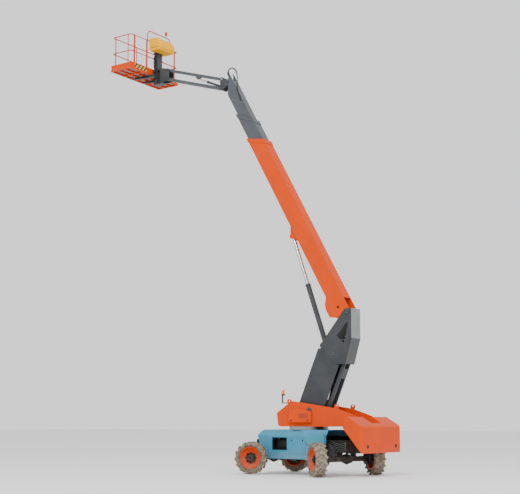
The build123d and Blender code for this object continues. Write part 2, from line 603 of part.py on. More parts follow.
# Outline from the arm's head pivot: the nose at the lift pin, the top, the rear face and the foot
UPRIGHT = [
    (LIFT_DX + 70, LIFT_DZ + 20), (BOOM_DX + 82, UPRIGHT_TOP), (UPRIGHT_REAR, UPRIGHT_TOP),
    (UPRIGHT_REAR, LIFT_DZ + 165), (LINK_DX - 75, LINK_DZ - 75), (LINK_DX + 260, LINK_DZ - 75),
    (120, -110), (LIFT_DX - 20, LIFT_DZ - 78),
]
UPRIGHT_TUBE_X = -230.0
UPRIGHT_TUBE_Z = 350.0
UPRIGHT_EAR_T = 28.0
UPRIGHT_WINDOW = [(-110, 500), (-470, 890), (-490, 800), (-360, 300), (-330, 290)]
with BuildPart() as upright:
    upright_y = ARM_W / 2 + SIDE_GAP + UPRIGHT_T / 2
    for side in (-1, 1):
        plate_plane = across(arm_head[0], arm_head[1], side * upright_y)
        slab(plate_plane, UPRIGHT, UPRIGHT_T)
        drum(across(lift_foot[0], lift_foot[1], side * upright_y), 80, UPRIGHT_T)
        slab(plate_plane, UPRIGHT_WINDOW, 3 * UPRIGHT_T, Mode.SUBTRACT)
        inner_l = upright_y - LINK_BAR_Y + LINK_BAR_W / 2 + SIDE_GAP
        drum(across(link_head[0], link_head[1], side * (upright_y - inner_l / 2)), SMALL_PIN_R, inner_l)
        ear_y = LIFT_BARREL_R + 8 + SIDE_GAP + UPRIGHT_EAR_T / 2
        ear = across(arm_head[0], arm_head[1], side * ear_y)
        slab(ear, [(UPRIGHT_TUBE_X, UPRIGHT_TUBE_Z + 45), (UPRIGHT_TUBE_X, UPRIGHT_TUBE_Z - 45),
                   (LIFT_DX - 15, LIFT_DZ - 74), (LIFT_DX + 15, LIFT_DZ + 74)], UPRIGHT_EAR_T)
        drum(across(lift_foot[0], lift_foot[1], side * ear_y), 76, UPRIGHT_EAR_T)
    drum(across(arm_head[0], arm_head[1]), PIN_R, 2 * upright_y)
    drum(across(boom_pivot[0], boom_pivot[1]), PIN_R, 2 * upright_y)
    drum(across(arm_head[0] + UPRIGHT_TUBE_X, arm_head[1] + UPRIGHT_TUBE_Z), 50, 2 * upright_y)
save(upright, "upright")

# Folded rear cover of the upright
with BuildPart() as upright_cover:
    cover_plane = across(arm_head[0], arm_head[1])
    skin = 12.0
    slab(cover_plane, [
        (UPRIGHT_REAR, UPRIGHT_TOP), (UPRIGHT_REAR, LIFT_DZ + 165), (LINK_DX - 75, LINK_DZ - 75),
        (LINK_DX - 75 - skin, LINK_DZ - 75), (UPRIGHT_REAR - skin, LIFT_DZ + 165),
        (UPRIGHT_REAR - skin, UPRIGHT_TOP)], 2 * (ARM_W / 2 + SIDE_GAP + UPRIGHT_T))
save(upright_cover, "upright_cover")

# Boom sections: local x runs up the boom from its pivot, local y to its top side
boom_plane = along(boom_pivot[0], boom_pivot[1], BOOM_ANGLE)
base_bottom = BOOM_TOP - BOOM_D
fly_half = JIB_BAR_IN + JIB_BAR_W + 2 * SIDE_GAP + JIB_PLATE_T + FLY_WALL
mid_half = fly_half + STAGE_GAP + BOOM_WALL
base_half = mid_half + STAGE_GAP + BOOM_WALL
mid_top = BOOM_TOP - BOOM_WALL - STAGE_GAP
mid_bottom = base_bottom + BOOM_WALL + STAGE_GAP
fly_top = mid_top - BOOM_WALL - STAGE_GAP
fly_bottom = mid_bottom + BOOM_WALL + STAGE_GAP


def boom_section(tail, top_end, bottom_end, top, bottom, half_width, wall):
    """Square tube along the boom whose front end is cut on the slant."""
    slab(boom_plane, [(tail, bottom), (bottom_end, bottom), (top_end, top), (tail, top)], 2 * half_width)
    slab(boom_plane, [(tail - 500, bottom + wall), (bottom_end + 900, bottom + wall),
                      (bottom_end + 900, top - wall), (tail - 500, top - wall)],
         2 * (half_width - wall), Mode.SUBTRACT)


def collar(top_end, bottom_end, top, bottom, half_width, wall):
    """Slanted band round the front end of a boom section."""
    t = COLLAR_T
    slab(boom_plane, [(bottom_end - COLLAR_L, bottom - t), (bottom_end, bottom - t), (top_end, top + t),
                      (top_end - COLLAR_L, top + t)], 2 * (half_width + t))
    block(boom_plane, bottom_end - 2000, bottom_end + 900, bottom + wall, top - wall,
          2 * (half_width - wall), Mode.SUBTRACT)


def front_pads(end, top, bottom, half_width, gap):
    """Wear pads inside a section's mouth that guide the next section."""
    reach_in = gap - SEAT_GAP
    for level, way in ((top, -1), (bottom, 1)):
        block(boom_plane, end - PAD_L, end, level, level + way * reach_in, 2 * half_width)
    for side in (-1, 1):
        face = boom_plane.offset(side * (half_width - reach_in / 2))
        block(face, end - PAD_L, end, bottom, top, reach_in)


def tail_pads(tail, top, bottom, half_width, gap):
    """Wear pads round a section's tail that run inside the section before it."""
    reach_out = gap - SEAT_GAP
    for level, way in ((top, 1), (bottom, -1)):
        block(boom_plane, tail, tail + PAD_L, level, level + way * reach_out, 2 * half_width)
    for side in (-1, 1):
        face = boom_plane.offset(side * (half_width + reach_out / 2))
        block(face, tail, tail + PAD_L, bottom, top, reach_out)


BASE_TAIL = 430.0
FOOT = [
    (-70, BOOM_TOP), (BASE_TAIL + 300, BOOM_TOP), (BASE_TAIL + 300, base_bottom), (560, -560), (420, -600),
    (170, -600), (-80, -270), (-90, -60),
]
with BuildPart() as boom_base:
    boom_section(BASE_TAIL, BASE_END_TOP, BASE_END_BOTTOM, BOOM_TOP, base_bottom, base_half, BOOM_WALL)
    for side in (-1, 1):
        slab(boom_plane.offset(side * (base_half + 1)), FOOT, 22)
        foot_boss = boom_plane.offset(side * (base_half + (ARM_W / 2 - base_half) / 2))
        drum(foot_boss, 80, ARM_W / 2 - base_half)
        hole = Plane(boom_plane.from_local_coords((276, -221)), x_dir=boom_plane.x_dir, z_dir=boom_plane.z_dir)
        drum(hole, 42, 3 * base_half, Mode.SUBTRACT)
    drum(boom_plane, 75, 2 * base_half)
    slab(boom_plane, [(-90, -60), (-80, -270), (-66, -270), (-76, -60)], 2 * base_half - 20)
    for side in (-1, 1):
        ear = boom_plane.offset(side * (LIFT_ROD_R + SIDE_GAP + 15))
        slab(ear, [(LIFT_PIN_S - 330, base_bottom + 5), (LIFT_PIN_S + 380, base_bottom + 5),
                   (LIFT_PIN_S + 75, LIFT_PIN_N), (LIFT_PIN_S - 75, LIFT_PIN_N)], 30)
        ear_tip = Plane(ear.from_local_coords((LIFT_PIN_S, LIFT_PIN_N)), x_dir=ear.x_dir, z_dir=ear.z_dir)
        drum(ear_tip, 75, 30)
    lift_pin = Plane(boom_plane.from_local_coords((LIFT_PIN_S, LIFT_PIN_N)), x_dir=boom_plane.x_dir,
                     z_dir=boom_plane.z_dir)
    drum(lift_pin, PIN_R, 2 * (LIFT_ROD_R + SIDE_GAP + 15))
    collar(BASE_END_TOP, BASE_END_BOTTOM, BOOM_TOP, base_bottom, base_half, BOOM_WALL)
    front_pads(BASE_END_TOP, BOOM_TOP - BOOM_WALL, base_bottom + BOOM_WALL, base_half - BOOM_WALL, STAGE_GAP)
    drum(boom_plane, PIN_R + RUN_FIT, 2 * ARM_W, Mode.SUBTRACT)
save(boom_base, "boom_base")

with BuildPart() as boom_mid:
    boom_section(MID_TAIL, MID_END_TOP, MID_END_BOTTOM, mid_top, mid_bottom, mid_half, BOOM_WALL)
    collar(MID_END_TOP, MID_END_BOTTOM, mid_top, mid_bottom, mid_half, BOOM_WALL)
    front_pads(MID_END_TOP, mid_top - BOOM_WALL, mid_bottom + BOOM_WALL, mid_half - BOOM_WALL, STAGE_GAP)
    tail_pads(MID_TAIL, mid_top, mid_bottom, mid_half, STAGE_GAP)
save(boom_mid, "boom_mid")

with BuildPart() as boom_fly:
    boom_section(FLY_TAIL, FLY_END_TOP, FLY_END_BOTTOM, fly_top, fly_bottom, fly_half, FLY_WALL)
    tail_pads(FLY_TAIL, fly_top, fly_bottom, fly_half, STAGE_GAP)
    # The nose's top plate is cut back so that the levelling bracket swings past it
    block(boom_plane, LEVEL_S - 60, FLY_END_TOP + 200, fly_bottom - 50, fly_top + 50,
          2 * (fly_half - FLY_WALL), Mode.SUBTRACT)
    for side in (-1, 1):
        nose = boom_plane.offset(side * (fly_half - FLY_WALL / 2))
        nose_pin = Plane(nose.from_local_coords((LEVEL_S, LEVEL_N)), x_dir=nose.x_dir, z_dir=nose.z_dir)
        drum(nose_pin, 90, FLY_WALL)
    level_pin = Plane(boom_plane.from_local_coords((LEVEL_S, LEVEL_N)), x_dir=boom_plane.x_dir,
                      z_dir=boom_plane.z_dir)
    drum(level_pin, SMALL_PIN_R, 2 * fly_half)
save(boom_fly, "boom_fly")

# Hose carrier along the right side of the boom's base section
with BuildPart() as hose_carrier:
    tray = boom_plane.offset(base_half + COLLAR_T + 38)
    block(tray, 700, 5900, -110, 40, 70)
    for step in range(6):
        foot_s = 900 + 950 * step
        block(boom_plane.offset(base_half + (COLLAR_T + 3) / 2), foot_s, foot_s + 60, -90, 20, COLLAR_T + 3)
save(hose_carrier, "hose_carrier")

lift_head = reach(boom_pivot, BOOM_ANGLE, LIFT_PIN_S, LIFT_PIN_N)
barrel, rod = cylinder(lift_foot, lift_head, LIFT_BARREL_R, LIFT_ROD_R, 1880.0, 65.0, LIFT_EYE_W, PIN_R, 430.0, False)
save(barrel, "lift_cylinder_barrel")
save(rod, "lift_cylinder_rod")

# Levelling bracket at the boom's nose that carries both jib pivots
jib_base = (JIB_X, JIB_Z)
jib_low = (JIB_X, JIB_Z - JIB_SPLIT)
jib_head = reach(jib_base, JIB_ANGLE, JIB_LENGTH)
jib_head_low = (jib_head[0], jib_head[1] - JIB_SPLIT)
level_pivot = reach(boom_pivot, BOOM_ANGLE, LEVEL_S, LEVEL_N)
plate_y = JIB_BAR_IN + JIB_BAR_W + SIDE_GAP + JIB_PLATE_T / 2
JIB_CYL_DX = 20.0
JIB_CYL_DZ = -240.0
JIB_ROD_R = 24.0
JIB_PIN_R = 20.0
JIB_EAR_T = 12.0
JIB_EAR_Y = JIB_ROD_R + SIDE_GAP + JIB_EAR_T / 2
JIB_BARREL_R = 36.0
JIB_FOOT_EAR_Y = JIB_BARREL_R + SIDE_GAP + JIB_EAR_T / 2
JIB_EYE_S = 1050.0
JIB_EYE_N = -105.0
jib_cyl_foot = (JIB_X + JIB_CYL_DX, JIB_Z + JIB_CYL_DZ)
with BuildPart() as level_bracket:
    for side in (-1, 1):
        bracket = across(0, 0, side * plate_y)
        slab(bracket, [(jib_base[0] - 20, jib_base[1] + 62), (jib_base[0] + 62, jib_base[1]),
                       (jib_low[0] + 62, jib_low[1]), (jib_low[0] - 20, jib_low[1] - 62),
                       (level_pivot[0] - 30, level_pivot[1] - 70), (level_pivot[0] - 70, level_pivot[1]),
                       (level_pivot[0] - 30, level_pivot[1] + 70)], JIB_PLATE_T)
        drum(across(jib_base[0], jib_base[1], side * plate_y), 62, JIB_PLATE_T)
        drum(across(jib_low[0], jib_low[1], side * plate_y), 62, JIB_PLATE_T)
        drum(across(level_pivot[0], level_pivot[1], side * plate_y), 70, JIB_PLATE_T)
        stub_l = plate_y - JIB_BAR_IN
        drum(across(jib_low[0], jib_low[1], side * (plate_y - stub_l / 2)), SMALL_PIN_R, stub_l)
        ear = across(0, 0, side * JIB_FOOT_EAR_Y)
        slab(ear, [(level_pivot[0], level_pivot[1] + 45), (level_pivot[0], level_pivot[1] - 45),
                   (jib_cyl_foot[0] - 8, jib_cyl_foot[1] - 36),
                   (jib_cyl_foot[0] + 8, jib_cyl_foot[1] + 36)], JIB_EAR_T)
        drum(across(jib_cyl_foot[0], jib_cyl_foot[1], side * JIB_FOOT_EAR_Y), 37, JIB_EAR_T)
    drum(across(level_pivot[0], level_pivot[1]), 55, 2 * plate_y)
    drum(across(jib_base[0], jib_base[1]), SMALL_PIN_R, 2 * plate_y)
    drum(across(level_pivot[0], level_pivot[1]), SMALL_PIN_R + RUN_FIT, 3 * plate_y, Mode.SUBTRACT)
save(level_bracket, "level_bracket")

# Jib: one upper tube and a pair of lower bars
with BuildPart() as jib_upper:
    upper = along(jib_base[0], jib_base[1], JIB_ANGLE)
    block(upper, 0, JIB_LENGTH, -45, 45, JIB_TUBE)
    for s in (0, JIB_LENGTH):
        eye = Plane(upper.from_local_coords((s, 0)), x_dir=upper.x_dir, z_dir=upper.z_dir)
        drum(eye, 55, 2 * plate_y - JIB_PLATE_T - 2 * SIDE_GAP)
        drum(eye, SMALL_PIN_R + RUN_FIT, 3 * JIB_TUBE, Mode.SUBTRACT)
    for side in (-1, 1):
        ear = upper.offset(side * JIB_EAR_Y)
        slab(ear, [(JIB_EYE_S - 130, -40), (JIB_EYE_S + 130, -40), (JIB_EYE_S + 34, JIB_EYE_N),
                   (JIB_EYE_S - 34, JIB_EYE_N)], JIB_EAR_T)
        tip = Plane(ear.from_local_coords((JIB_EYE_S, JIB_EYE_N)), x_dir=ear.x_dir, z_dir=ear.z_dir)
        drum(tip, 34, JIB_EAR_T)
    eye_pin = Plane(upper.from_local_coords((JIB_EYE_S, JIB_EYE_N)), x_dir=upper.x_dir, z_dir=upper.z_dir)
    drum(eye_pin, JIB_PIN_R, 2 * JIB_EAR_Y)
save(jib_upper, "jib_upper")

with BuildPart() as jib_lower:
    lower = along(jib_low[0], jib_low[1], JIB_ANGLE)
    for side in (-1, 1):
        bar = lower.offset(side * (JIB_BAR_IN + JIB_BAR_W / 2))
        block(bar, 0, JIB_LENGTH, -JIB_BAR_D / 2, JIB_BAR_D / 2, JIB_BAR_W)
        for s in (0, JIB_LENGTH):
            eye = Plane(bar.from_local_coords((s, 0)), x_dir=bar.x_dir, z_dir=bar.z_dir)
            drum(eye, JIB_BAR_D / 2 + 8, JIB_BAR_W)
            drum(eye, SMALL_PIN_R + RUN_FIT, 2 * JIB_BAR_W, Mode.SUBTRACT)
    for s in (1500, 1900):
        block(lower, s, s + 120, -JIB_BAR_D / 2, -JIB_BAR_D / 2 + 12, 2 * JIB_BAR_IN + JIB_BAR_W)
save(jib_lower, "jib_lower")

jib_eye = reach(jib_base, JIB_ANGLE, JIB_EYE_S, JIB_EYE_N)
barrel, rod = cylinder(jib_cyl_foot, jib_eye, JIB_BARREL_R, JIB_ROD_R, 640.0, 34.0, 2 * JIB_ROD_R, JIB_PIN_R, 220.0, False)
save(barrel, "jib_cylinder_barrel")
save(rod, "jib_cylinder_rod")

# Jib head: level plates from the jib's pivots to the platform rotator
ROTATOR_Z0 = jib_head_low[1] - 60
ROTATOR_Z1 = jib_head[1] + 70
with BuildPart() as jib_head_bracket:
    for side in (-1, 1):
        bracket = across(0, 0, side * plate_y)
        slab(bracket, [(jib_head[0] - 55, jib_head[1] + 25), (jib_head[0], jib_head[1] + 62),
                       (ROTATOR_X, ROTATOR_Z1 - 20), (ROTATOR_X, ROTATOR_Z0 + 20),
                       (jib_head_low[0], jib_head_low[1] - 62), (jib_head_low[0] - 55, jib_head_low[1] - 25)],
             JIB_PLATE_T)
        stub_l = plate_y - JIB_BAR_IN
        drum(across(jib_head_low[0], jib_head_low[1], side * (plate_y - stub_l / 2)), SMALL_PIN_R, stub_l)
    drum(across(jib_head[0], jib_head[1]), SMALL_PIN_R, 2 * plate_y)
    with BuildSketch(Plane.XY.offset(ROTATOR_Z0)) as pot:
        with Locations((ROTATOR_X, 0)):
            Circle(ROTATOR_R)
    extrude(pot.sketch, amount=ROTATOR_Z1 - ROTATOR_Z0)
    with BuildSketch(Plane.XY.offset(ROTATOR_Z0 - 40)) as through:
        with Locations((ROTATOR_X, 0)):
            Circle(PIN_R + RUN_FIT)
    extrude(through.sketch, amount=ROTATOR_Z1 - ROTATOR_Z0 + 100, mode=Mode.SUBTRACT)
save(jib_head_bracket, "jib_head_bracket")

# Platform support: a fork round the rotator, a post and two bearers under the floor
FORK_T = 40.0
POST_X0 = ROTATOR_X + ROTATOR_R + 40
POST_X1 = BASKET_X0 - 40
POST_TOP = 13520.0
with BuildPart() as platform_support:
    for fork_z, way in ((ROTATOR_Z0 - SEAT_GAP, -1), (ROTATOR_Z1 + SEAT_GAP, 1)):
        with BuildSketch(Plane.XY.offset(fork_z)) as fork:
            with Locations((ROTATOR_X, 0)):
                Circle(ROTATOR_R - 10)
            with Locations(((ROTATOR_X + POST_X1) / 2, 0)):
                Rectangle(POST_X1 - ROTATOR_X, 2 * ROTATOR_R - 20)
        extrude(fork.sketch, amount=way * FORK_T)
    block(across(0, 0), POST_X0, POST_X1, ROTATOR_Z0 - FORK_T, POST_TOP, 2 * ROTATOR_R - 20)
    with BuildSketch(Plane.XY.offset(ROTATOR_Z0 - FORK_T)) as kingpost:
        with Locations((ROTATOR_X, 0)):
            Circle(PIN_R)
    extrude(kingpost.sketch, amount=ROTATOR_Z1 - ROTATOR_Z0 + 2 * FORK_T)
    for side in (-1, 1):
        bearer = across(0, 0, side * 260)
        slab(bearer, [(POST_X0, BASKET_Z - 100), (BASKET_X0 + 200, BASKET_Z - 100),
                      (BASKET_X1 - 120, BASKET_Z - 40), (BASKET_X1 - 120, BASKET_Z), (POST_X0, BASKET_Z)], 60)
    block(across(0, 0), POST_X0, POST_X1, BASKET_Z - 100, BASKET_Z, 580)
save(platform_support, "platform_support")

# Platform floor: a frame of bearers with a deck of open mesh panels laid in
FRAME_W = 50.0
with BuildPart() as platform_frame:
    frame_l = BASKET_X1 - BASKET_X0
    with BuildSketch(Plane.XY.offset(BASKET_Z)) as ladder:
        with Locations(((BASKET_X0 + BASKET_X1) / 2, 0)):
            Rectangle(frame_l, 2 * BASKET_HALF)
            cell_x = (frame_l - 4 * FRAME_W) / 3
            cell_y = (2 * BASKET_HALF - 5 * FRAME_W) / 4
            with GridLocations(cell_x + FRAME_W, cell_y + FRAME_W, 3, 4):
                Rectangle(cell_x, cell_y, mode=Mode.SUBTRACT)
    extrude(ladder.sketch, amount=BASKET_FLOOR_H - 8)
save(platform_frame, "platform_frame")

with BuildPart() as platform_deck:
    with BuildSketch(Plane.XY.offset(BASKET_Z + BASKET_FLOOR_H - 8)) as sheet:
        with Locations(((BASKET_X0 + BASKET_X1) / 2, 0)):
            Rectangle(frame_l - 20, 2 * BASKET_HALF - 20)
    extrude(sheet.sketch, amount=8)
save(platform_deck, "platform_deck")

# Toe boards round the floor, left open at the gate
deck_top = BASKET_Z + BASKET_FLOOR_H
TOE_T = 8.0
with BuildPart() as toe_boards:
    with BuildSketch(Plane.XY.offset(deck_top)) as kick:
        with Locations(((BASKET_X0 + BASKET_X1) / 2, 0)):
            Rectangle(frame_l - 20, 2 * BASKET_HALF - 20)
            Rectangle(frame_l - 20 - 2 * TOE_T, 2 * BASKET_HALF - 20 - 2 * TOE_T, mode=Mode.SUBTRACT)
        with Locations((BASKET_X0, (GATE_Y0 + GATE_Y1) / 2)):
            Rectangle(200, GATE_Y1 - GATE_Y0 + 2 * RAIL_R + 2 * SIDE_GAP, mode=Mode.SUBTRACT)
    extrude(kick.sketch, amount=TOE_H)
save(toe_boards, "toe_boards")


def rail_run(points, radius=RAIL_R, corner=RAIL_CORNER_R):
    """Bent tube along straight runs with rounded corners."""
    with BuildLine() as path:
        FilletPolyline(*points, radius=corner)
    with BuildSketch(Plane(path.line @ 0, z_dir=path.line % 0)) as ring:
        Circle(radius)
    sweep(ring.sketch, path=path.line)


def upright_tube(x, y, z0, z1, radius=POST_R):
    with BuildSketch(Plane((x, y, z0))) as ring:
        Circle(radius)
    extrude(ring.sketch, amount=z1 - z0)


# Guard rails: top and middle rails on posts, broken at the gate
rail_x0 = BASKET_X0 + 40
rail_x1 = BASKET_X1 - 40
rail_y = BASKET_HALF - 40
post_inset = 130.0
RAIL_POSTS = (
    (rail_x1, rail_y - post_inset), (rail_x1, -rail_y + post_inset), (rail_x1, 0.0),
    (rail_x0, -rail_y + post_inset), (rail_x0, GATE_Y0 - 2 * RAIL_R - SIDE_GAP),
    (rail_x0, GATE_Y1 + 2 * RAIL_R + SIDE_GAP), (rail_x0 + post_inset, -rail_y), (rail_x1 - post_inset, -rail_y),
    (rail_x0 + post_inset, rail_y), (rail_x1 - post_inset, rail_y), (rail_x0, -350.0),
)
with BuildPart() as guard_rails:
    for level in (RAIL_TOP - RAIL_R, RAIL_MID):
        rail_run([
            (rail_x0, GATE_Y1 + 2 * RAIL_R + SIDE_GAP, level), (rail_x0, rail_y, level), (rail_x1, rail_y, level),
            (rail_x1, -rail_y, level), (rail_x0, -rail_y, level),
            (rail_x0, GATE_Y0 - 2 * RAIL_R - SIDE_GAP, level)])
save(guard_rails, "guard_rails")

# Posts, each coped to the rails that it carries
with BuildPart() as rail_posts:
    for post_x, post_y in RAIL_POSTS:
        upright_tube(post_x, post_y, deck_top, RAIL_TOP - RAIL_R)
    add(guard_rails.part, mode=Mode.SUBTRACT)
save(rail_posts, "rail_posts")

# Gate between its posts at the platform's rear left, hinged on the outer post
with BuildPart() as platform_gate:
    gate_z0 = deck_top + SIDE_GAP
    for level in (RAIL_TOP - RAIL_R, RAIL_MID):
        with BuildSketch(Plane((rail_x0, GATE_Y0, level), x_dir=(1, 0, 0), z_dir=(0, 1, 0))) as ring:
            Circle(POST_R)
        extrude(ring.sketch, amount=GATE_Y1 - GATE_Y0)
    for post_y in (GATE_Y0, GATE_Y1):
        upright_tube(rail_x0, post_y, gate_z0, RAIL_TOP, RAIL_R)
    block(across(0, 0, (GATE_Y0 + GATE_Y1) / 2), rail_x0 - TOE_T / 2, rail_x0 + TOE_T / 2, gate_z0,
          deck_top + TOE_H, GATE_Y1 - GATE_Y0)
    hinge_l = 2 * RAIL_R + SIDE_GAP - POST_R - SEAT_GAP
    for hinge_z in (RAIL_MID - 260, RAIL_TOP - 160):
        with BuildSketch(Plane((rail_x0, GATE_Y1, hinge_z), x_dir=(1, 0, 0), z_dir=(0, 1, 0))) as strap:
            Rectangle(14, 50)
        extrude(strap.sketch, amount=hinge_l)
save(platform_gate, "platform_gate")

# Control console outside the rear rail, under a rounded cover
CONSOLE_X0 = 5400.0
CONSOLE_X1 = BASKET_X0 - 20
CONSOLE_Z0 = 13560.0
CONSOLE_H = 440.0
CONSOLE_W = 740.0
with BuildPart() as console_cover:
    with BuildSketch(across(0, 0)) as hood:
        with BuildLine():
            Polyline((CONSOLE_X1, CONSOLE_Z0 + 60), (CONSOLE_X1, CONSOLE_Z0 + CONSOLE_H))
            Polyline((CONSOLE_X1, CONSOLE_Z0 + CONSOLE_H), (CONSOLE_X0 + 210, CONSOLE_Z0 + CONSOLE_H))
            ThreePointArc((CONSOLE_X0 + 210, CONSOLE_Z0 + CONSOLE_H), (CONSOLE_X0 + 45, CONSOLE_Z0 + 290),
                          (CONSOLE_X0, CONSOLE_Z0 + 90))
            Polyline((CONSOLE_X0, CONSOLE_Z0 + 90), (CONSOLE_X0 + 60, CONSOLE_Z0), (CONSOLE_X1 - 60, CONSOLE_Z0),
                     (CONSOLE_X1, CONSOLE_Z0 + 60))
        make_face()
    extrude(hood.sketch, amount=CONSOLE_W / 2, both=True)
    fillet(console_cover.faces().filter_by(Axis.Y).edges(), radius=40)
save(console_cover, "console_cover")

with BuildPart() as console_frame:
    block(across(0, 0), POST_X0, POST_X1, POST_TOP, CONSOLE_Z0, 300)
    for side in (-1, 1):
        block(across(0, 0, side * 180), CONSOLE_X1, rail_x0 - RAIL_R - SEAT_GAP, RAIL_TOP - 2 * RAIL_R,
              RAIL_TOP, 30)
save(console_frame, "console_frame")

# Guard bar raised over the rear rail, with a lamp
BAR_TOP = 14300.0
BAR_Y0 = 370.0
BAR_Y1 = -800.0
with BuildPart() as guard_bar:
    bar_foot = RAIL_TOP + SEAT_GAP
    rail_run([(rail_x0, BAR_Y0, bar_foot), (rail_x0, BAR_Y0, BAR_TOP), (rail_x0, BAR_Y1, BAR_TOP),
              (rail_x0, BAR_Y1, bar_foot)], corner=150.0)
    upright_tube(rail_x0, BAR_Y1 + 220, BAR_TOP, BAR_TOP + 90)
    upright_tube(rail_x0, BAR_Y1 + 220, BAR_TOP + 90, BAR_TOP + 200, 42.0)
save(guard_bar, "guard_bar")
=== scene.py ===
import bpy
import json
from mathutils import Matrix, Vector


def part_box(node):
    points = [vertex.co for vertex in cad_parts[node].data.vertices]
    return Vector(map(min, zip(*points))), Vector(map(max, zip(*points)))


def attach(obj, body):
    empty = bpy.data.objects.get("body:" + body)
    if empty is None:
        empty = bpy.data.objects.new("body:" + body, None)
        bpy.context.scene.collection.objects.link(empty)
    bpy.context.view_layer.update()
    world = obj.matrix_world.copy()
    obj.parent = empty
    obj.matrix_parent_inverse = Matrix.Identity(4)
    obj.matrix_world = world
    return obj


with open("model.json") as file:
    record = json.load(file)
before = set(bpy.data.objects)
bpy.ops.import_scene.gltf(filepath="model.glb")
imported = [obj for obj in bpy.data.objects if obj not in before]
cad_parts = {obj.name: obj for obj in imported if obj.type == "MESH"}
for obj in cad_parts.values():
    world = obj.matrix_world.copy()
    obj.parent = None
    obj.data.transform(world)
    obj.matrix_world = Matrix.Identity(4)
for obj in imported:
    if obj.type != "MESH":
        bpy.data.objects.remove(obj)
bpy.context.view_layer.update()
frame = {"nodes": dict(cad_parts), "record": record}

import json
from math import cos, pi, radians, sin

import bpy
from mathutils import Vector

# Looks of a boom lift: paint, rubber, bolts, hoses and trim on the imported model.
# Metres in the row frame: +X the way the boom points, +Y the machine's left, +Z up.

NODES = frame["nodes"]
JOINTS = {joint["name"]: joint for joint in frame["record"]["behaviour"]["joints"]}


# Shader helpers
def new_material(name):
    """Empty principled material; returns its tree, the shader and the object coordinates."""
    material = bpy.data.materials.new(name)
    material.use_nodes = True
    tree = material.node_tree
    shader = tree.nodes["Principled BSDF"]
    coords = tree.nodes.new("ShaderNodeTexCoord")
    return material, tree, shader, coords.outputs["Object"]


def noise(tree, coords, scale, detail=4.0, rough=0.6):
    node = tree.nodes.new("ShaderNodeTexNoise")
    node.inputs["Scale"].default_value = scale
    node.inputs["Detail"].default_value = detail
    node.inputs["Roughness"].default_value = rough
    tree.links.new(coords, node.inputs["Vector"])
    return node.outputs["Fac"]


def band(tree, value, low, high, to_low=0.0, to_high=1.0):
    """Clamped ramp of a value from low..high to to_low..to_high."""
    node = tree.nodes.new("ShaderNodeMapRange")
    node.inputs["From Min"].default_value = low
    node.inputs["From Max"].default_value = high
    node.inputs["To Min"].default_value = to_low
    node.inputs["To Max"].default_value = to_high
    tree.links.new(value, node.inputs["Value"])
    return node.outputs["Result"]


def mix(tree, factor, first, second):
    """Colour between two, each a colour triple or another colour output."""
    node = tree.nodes.new("ShaderNodeMix")
    node.data_type = "RGBA"
    tree.links.new(factor, node.inputs["Factor"])
    for colour, socket in ((first, node.inputs[6]), (second, node.inputs[7])):
        if isinstance(colour, tuple):
            socket.default_value = (*colour, 1.0)
        else:
            tree.links.new(colour, socket)
    return node.outputs[2]


def calc(tree, operation, first, second=0.0):
    node = tree.nodes.new("ShaderNodeMath")
    node.operation = operation
    for value, socket in ((first, node.inputs[0]), (second, node.inputs[1])):
        if isinstance(value, float):
            socket.default_value = value
        else:
            tree.links.new(value, socket)
    return node.outputs[0]


def axis_value(tree, coords, axis):
    node = tree.nodes.new("ShaderNodeSeparateXYZ")
    tree.links.new(coords, node.inputs["Vector"])
    return node.outputs[axis]


def bump(tree, shader, height, strength, distance):
    node = tree.nodes.new("ShaderNodeBump")
    node.inputs["Strength"].default_value = strength
    node.inputs["Distance"].default_value = distance
    tree.links.new(height, node.inputs["Height"])
    tree.links.new(node.outputs["Normal"], shader.inputs["Normal"])


# Materials
DUST = (0.27, 0.225, 0.17)


def worn(name, colour, faded, rough, metallic=0.0, dust_top=0.0, coat=0.0, specular=0.25):
    """Paint or metal with faded patches, fine grain and, up to dust_top, road dust."""
    material, tree, shader, coords = new_material(name)
    base = mix(tree, band(tree, noise(tree, coords, 1.7), 0.35, 0.7), colour, faded)
    if dust_top:
        low = band(tree, axis_value(tree, coords, "Z"), 0.1, dust_top, 0.75, 0.0)
        patch = band(tree, noise(tree, coords, 9.0), 0.38, 0.68)
        base = mix(tree, calc(tree, "MULTIPLY", low, patch), base, DUST)
    tree.links.new(base, shader.inputs["Base Color"])
    grain = noise(tree, coords, 60.0)
    tree.links.new(band(tree, grain, 0.3, 0.7, rough - 0.07, rough + 0.09), shader.inputs["Roughness"])
    shader.inputs["Metallic"].default_value = metallic
    shader.inputs["Specular IOR Level"].default_value = specular
    shader.inputs["Coat Weight"].default_value = coat
    shader.inputs["Coat Roughness"].default_value = 0.2
    bump(tree, shader, grain, 0.06, 0.002)
    return material


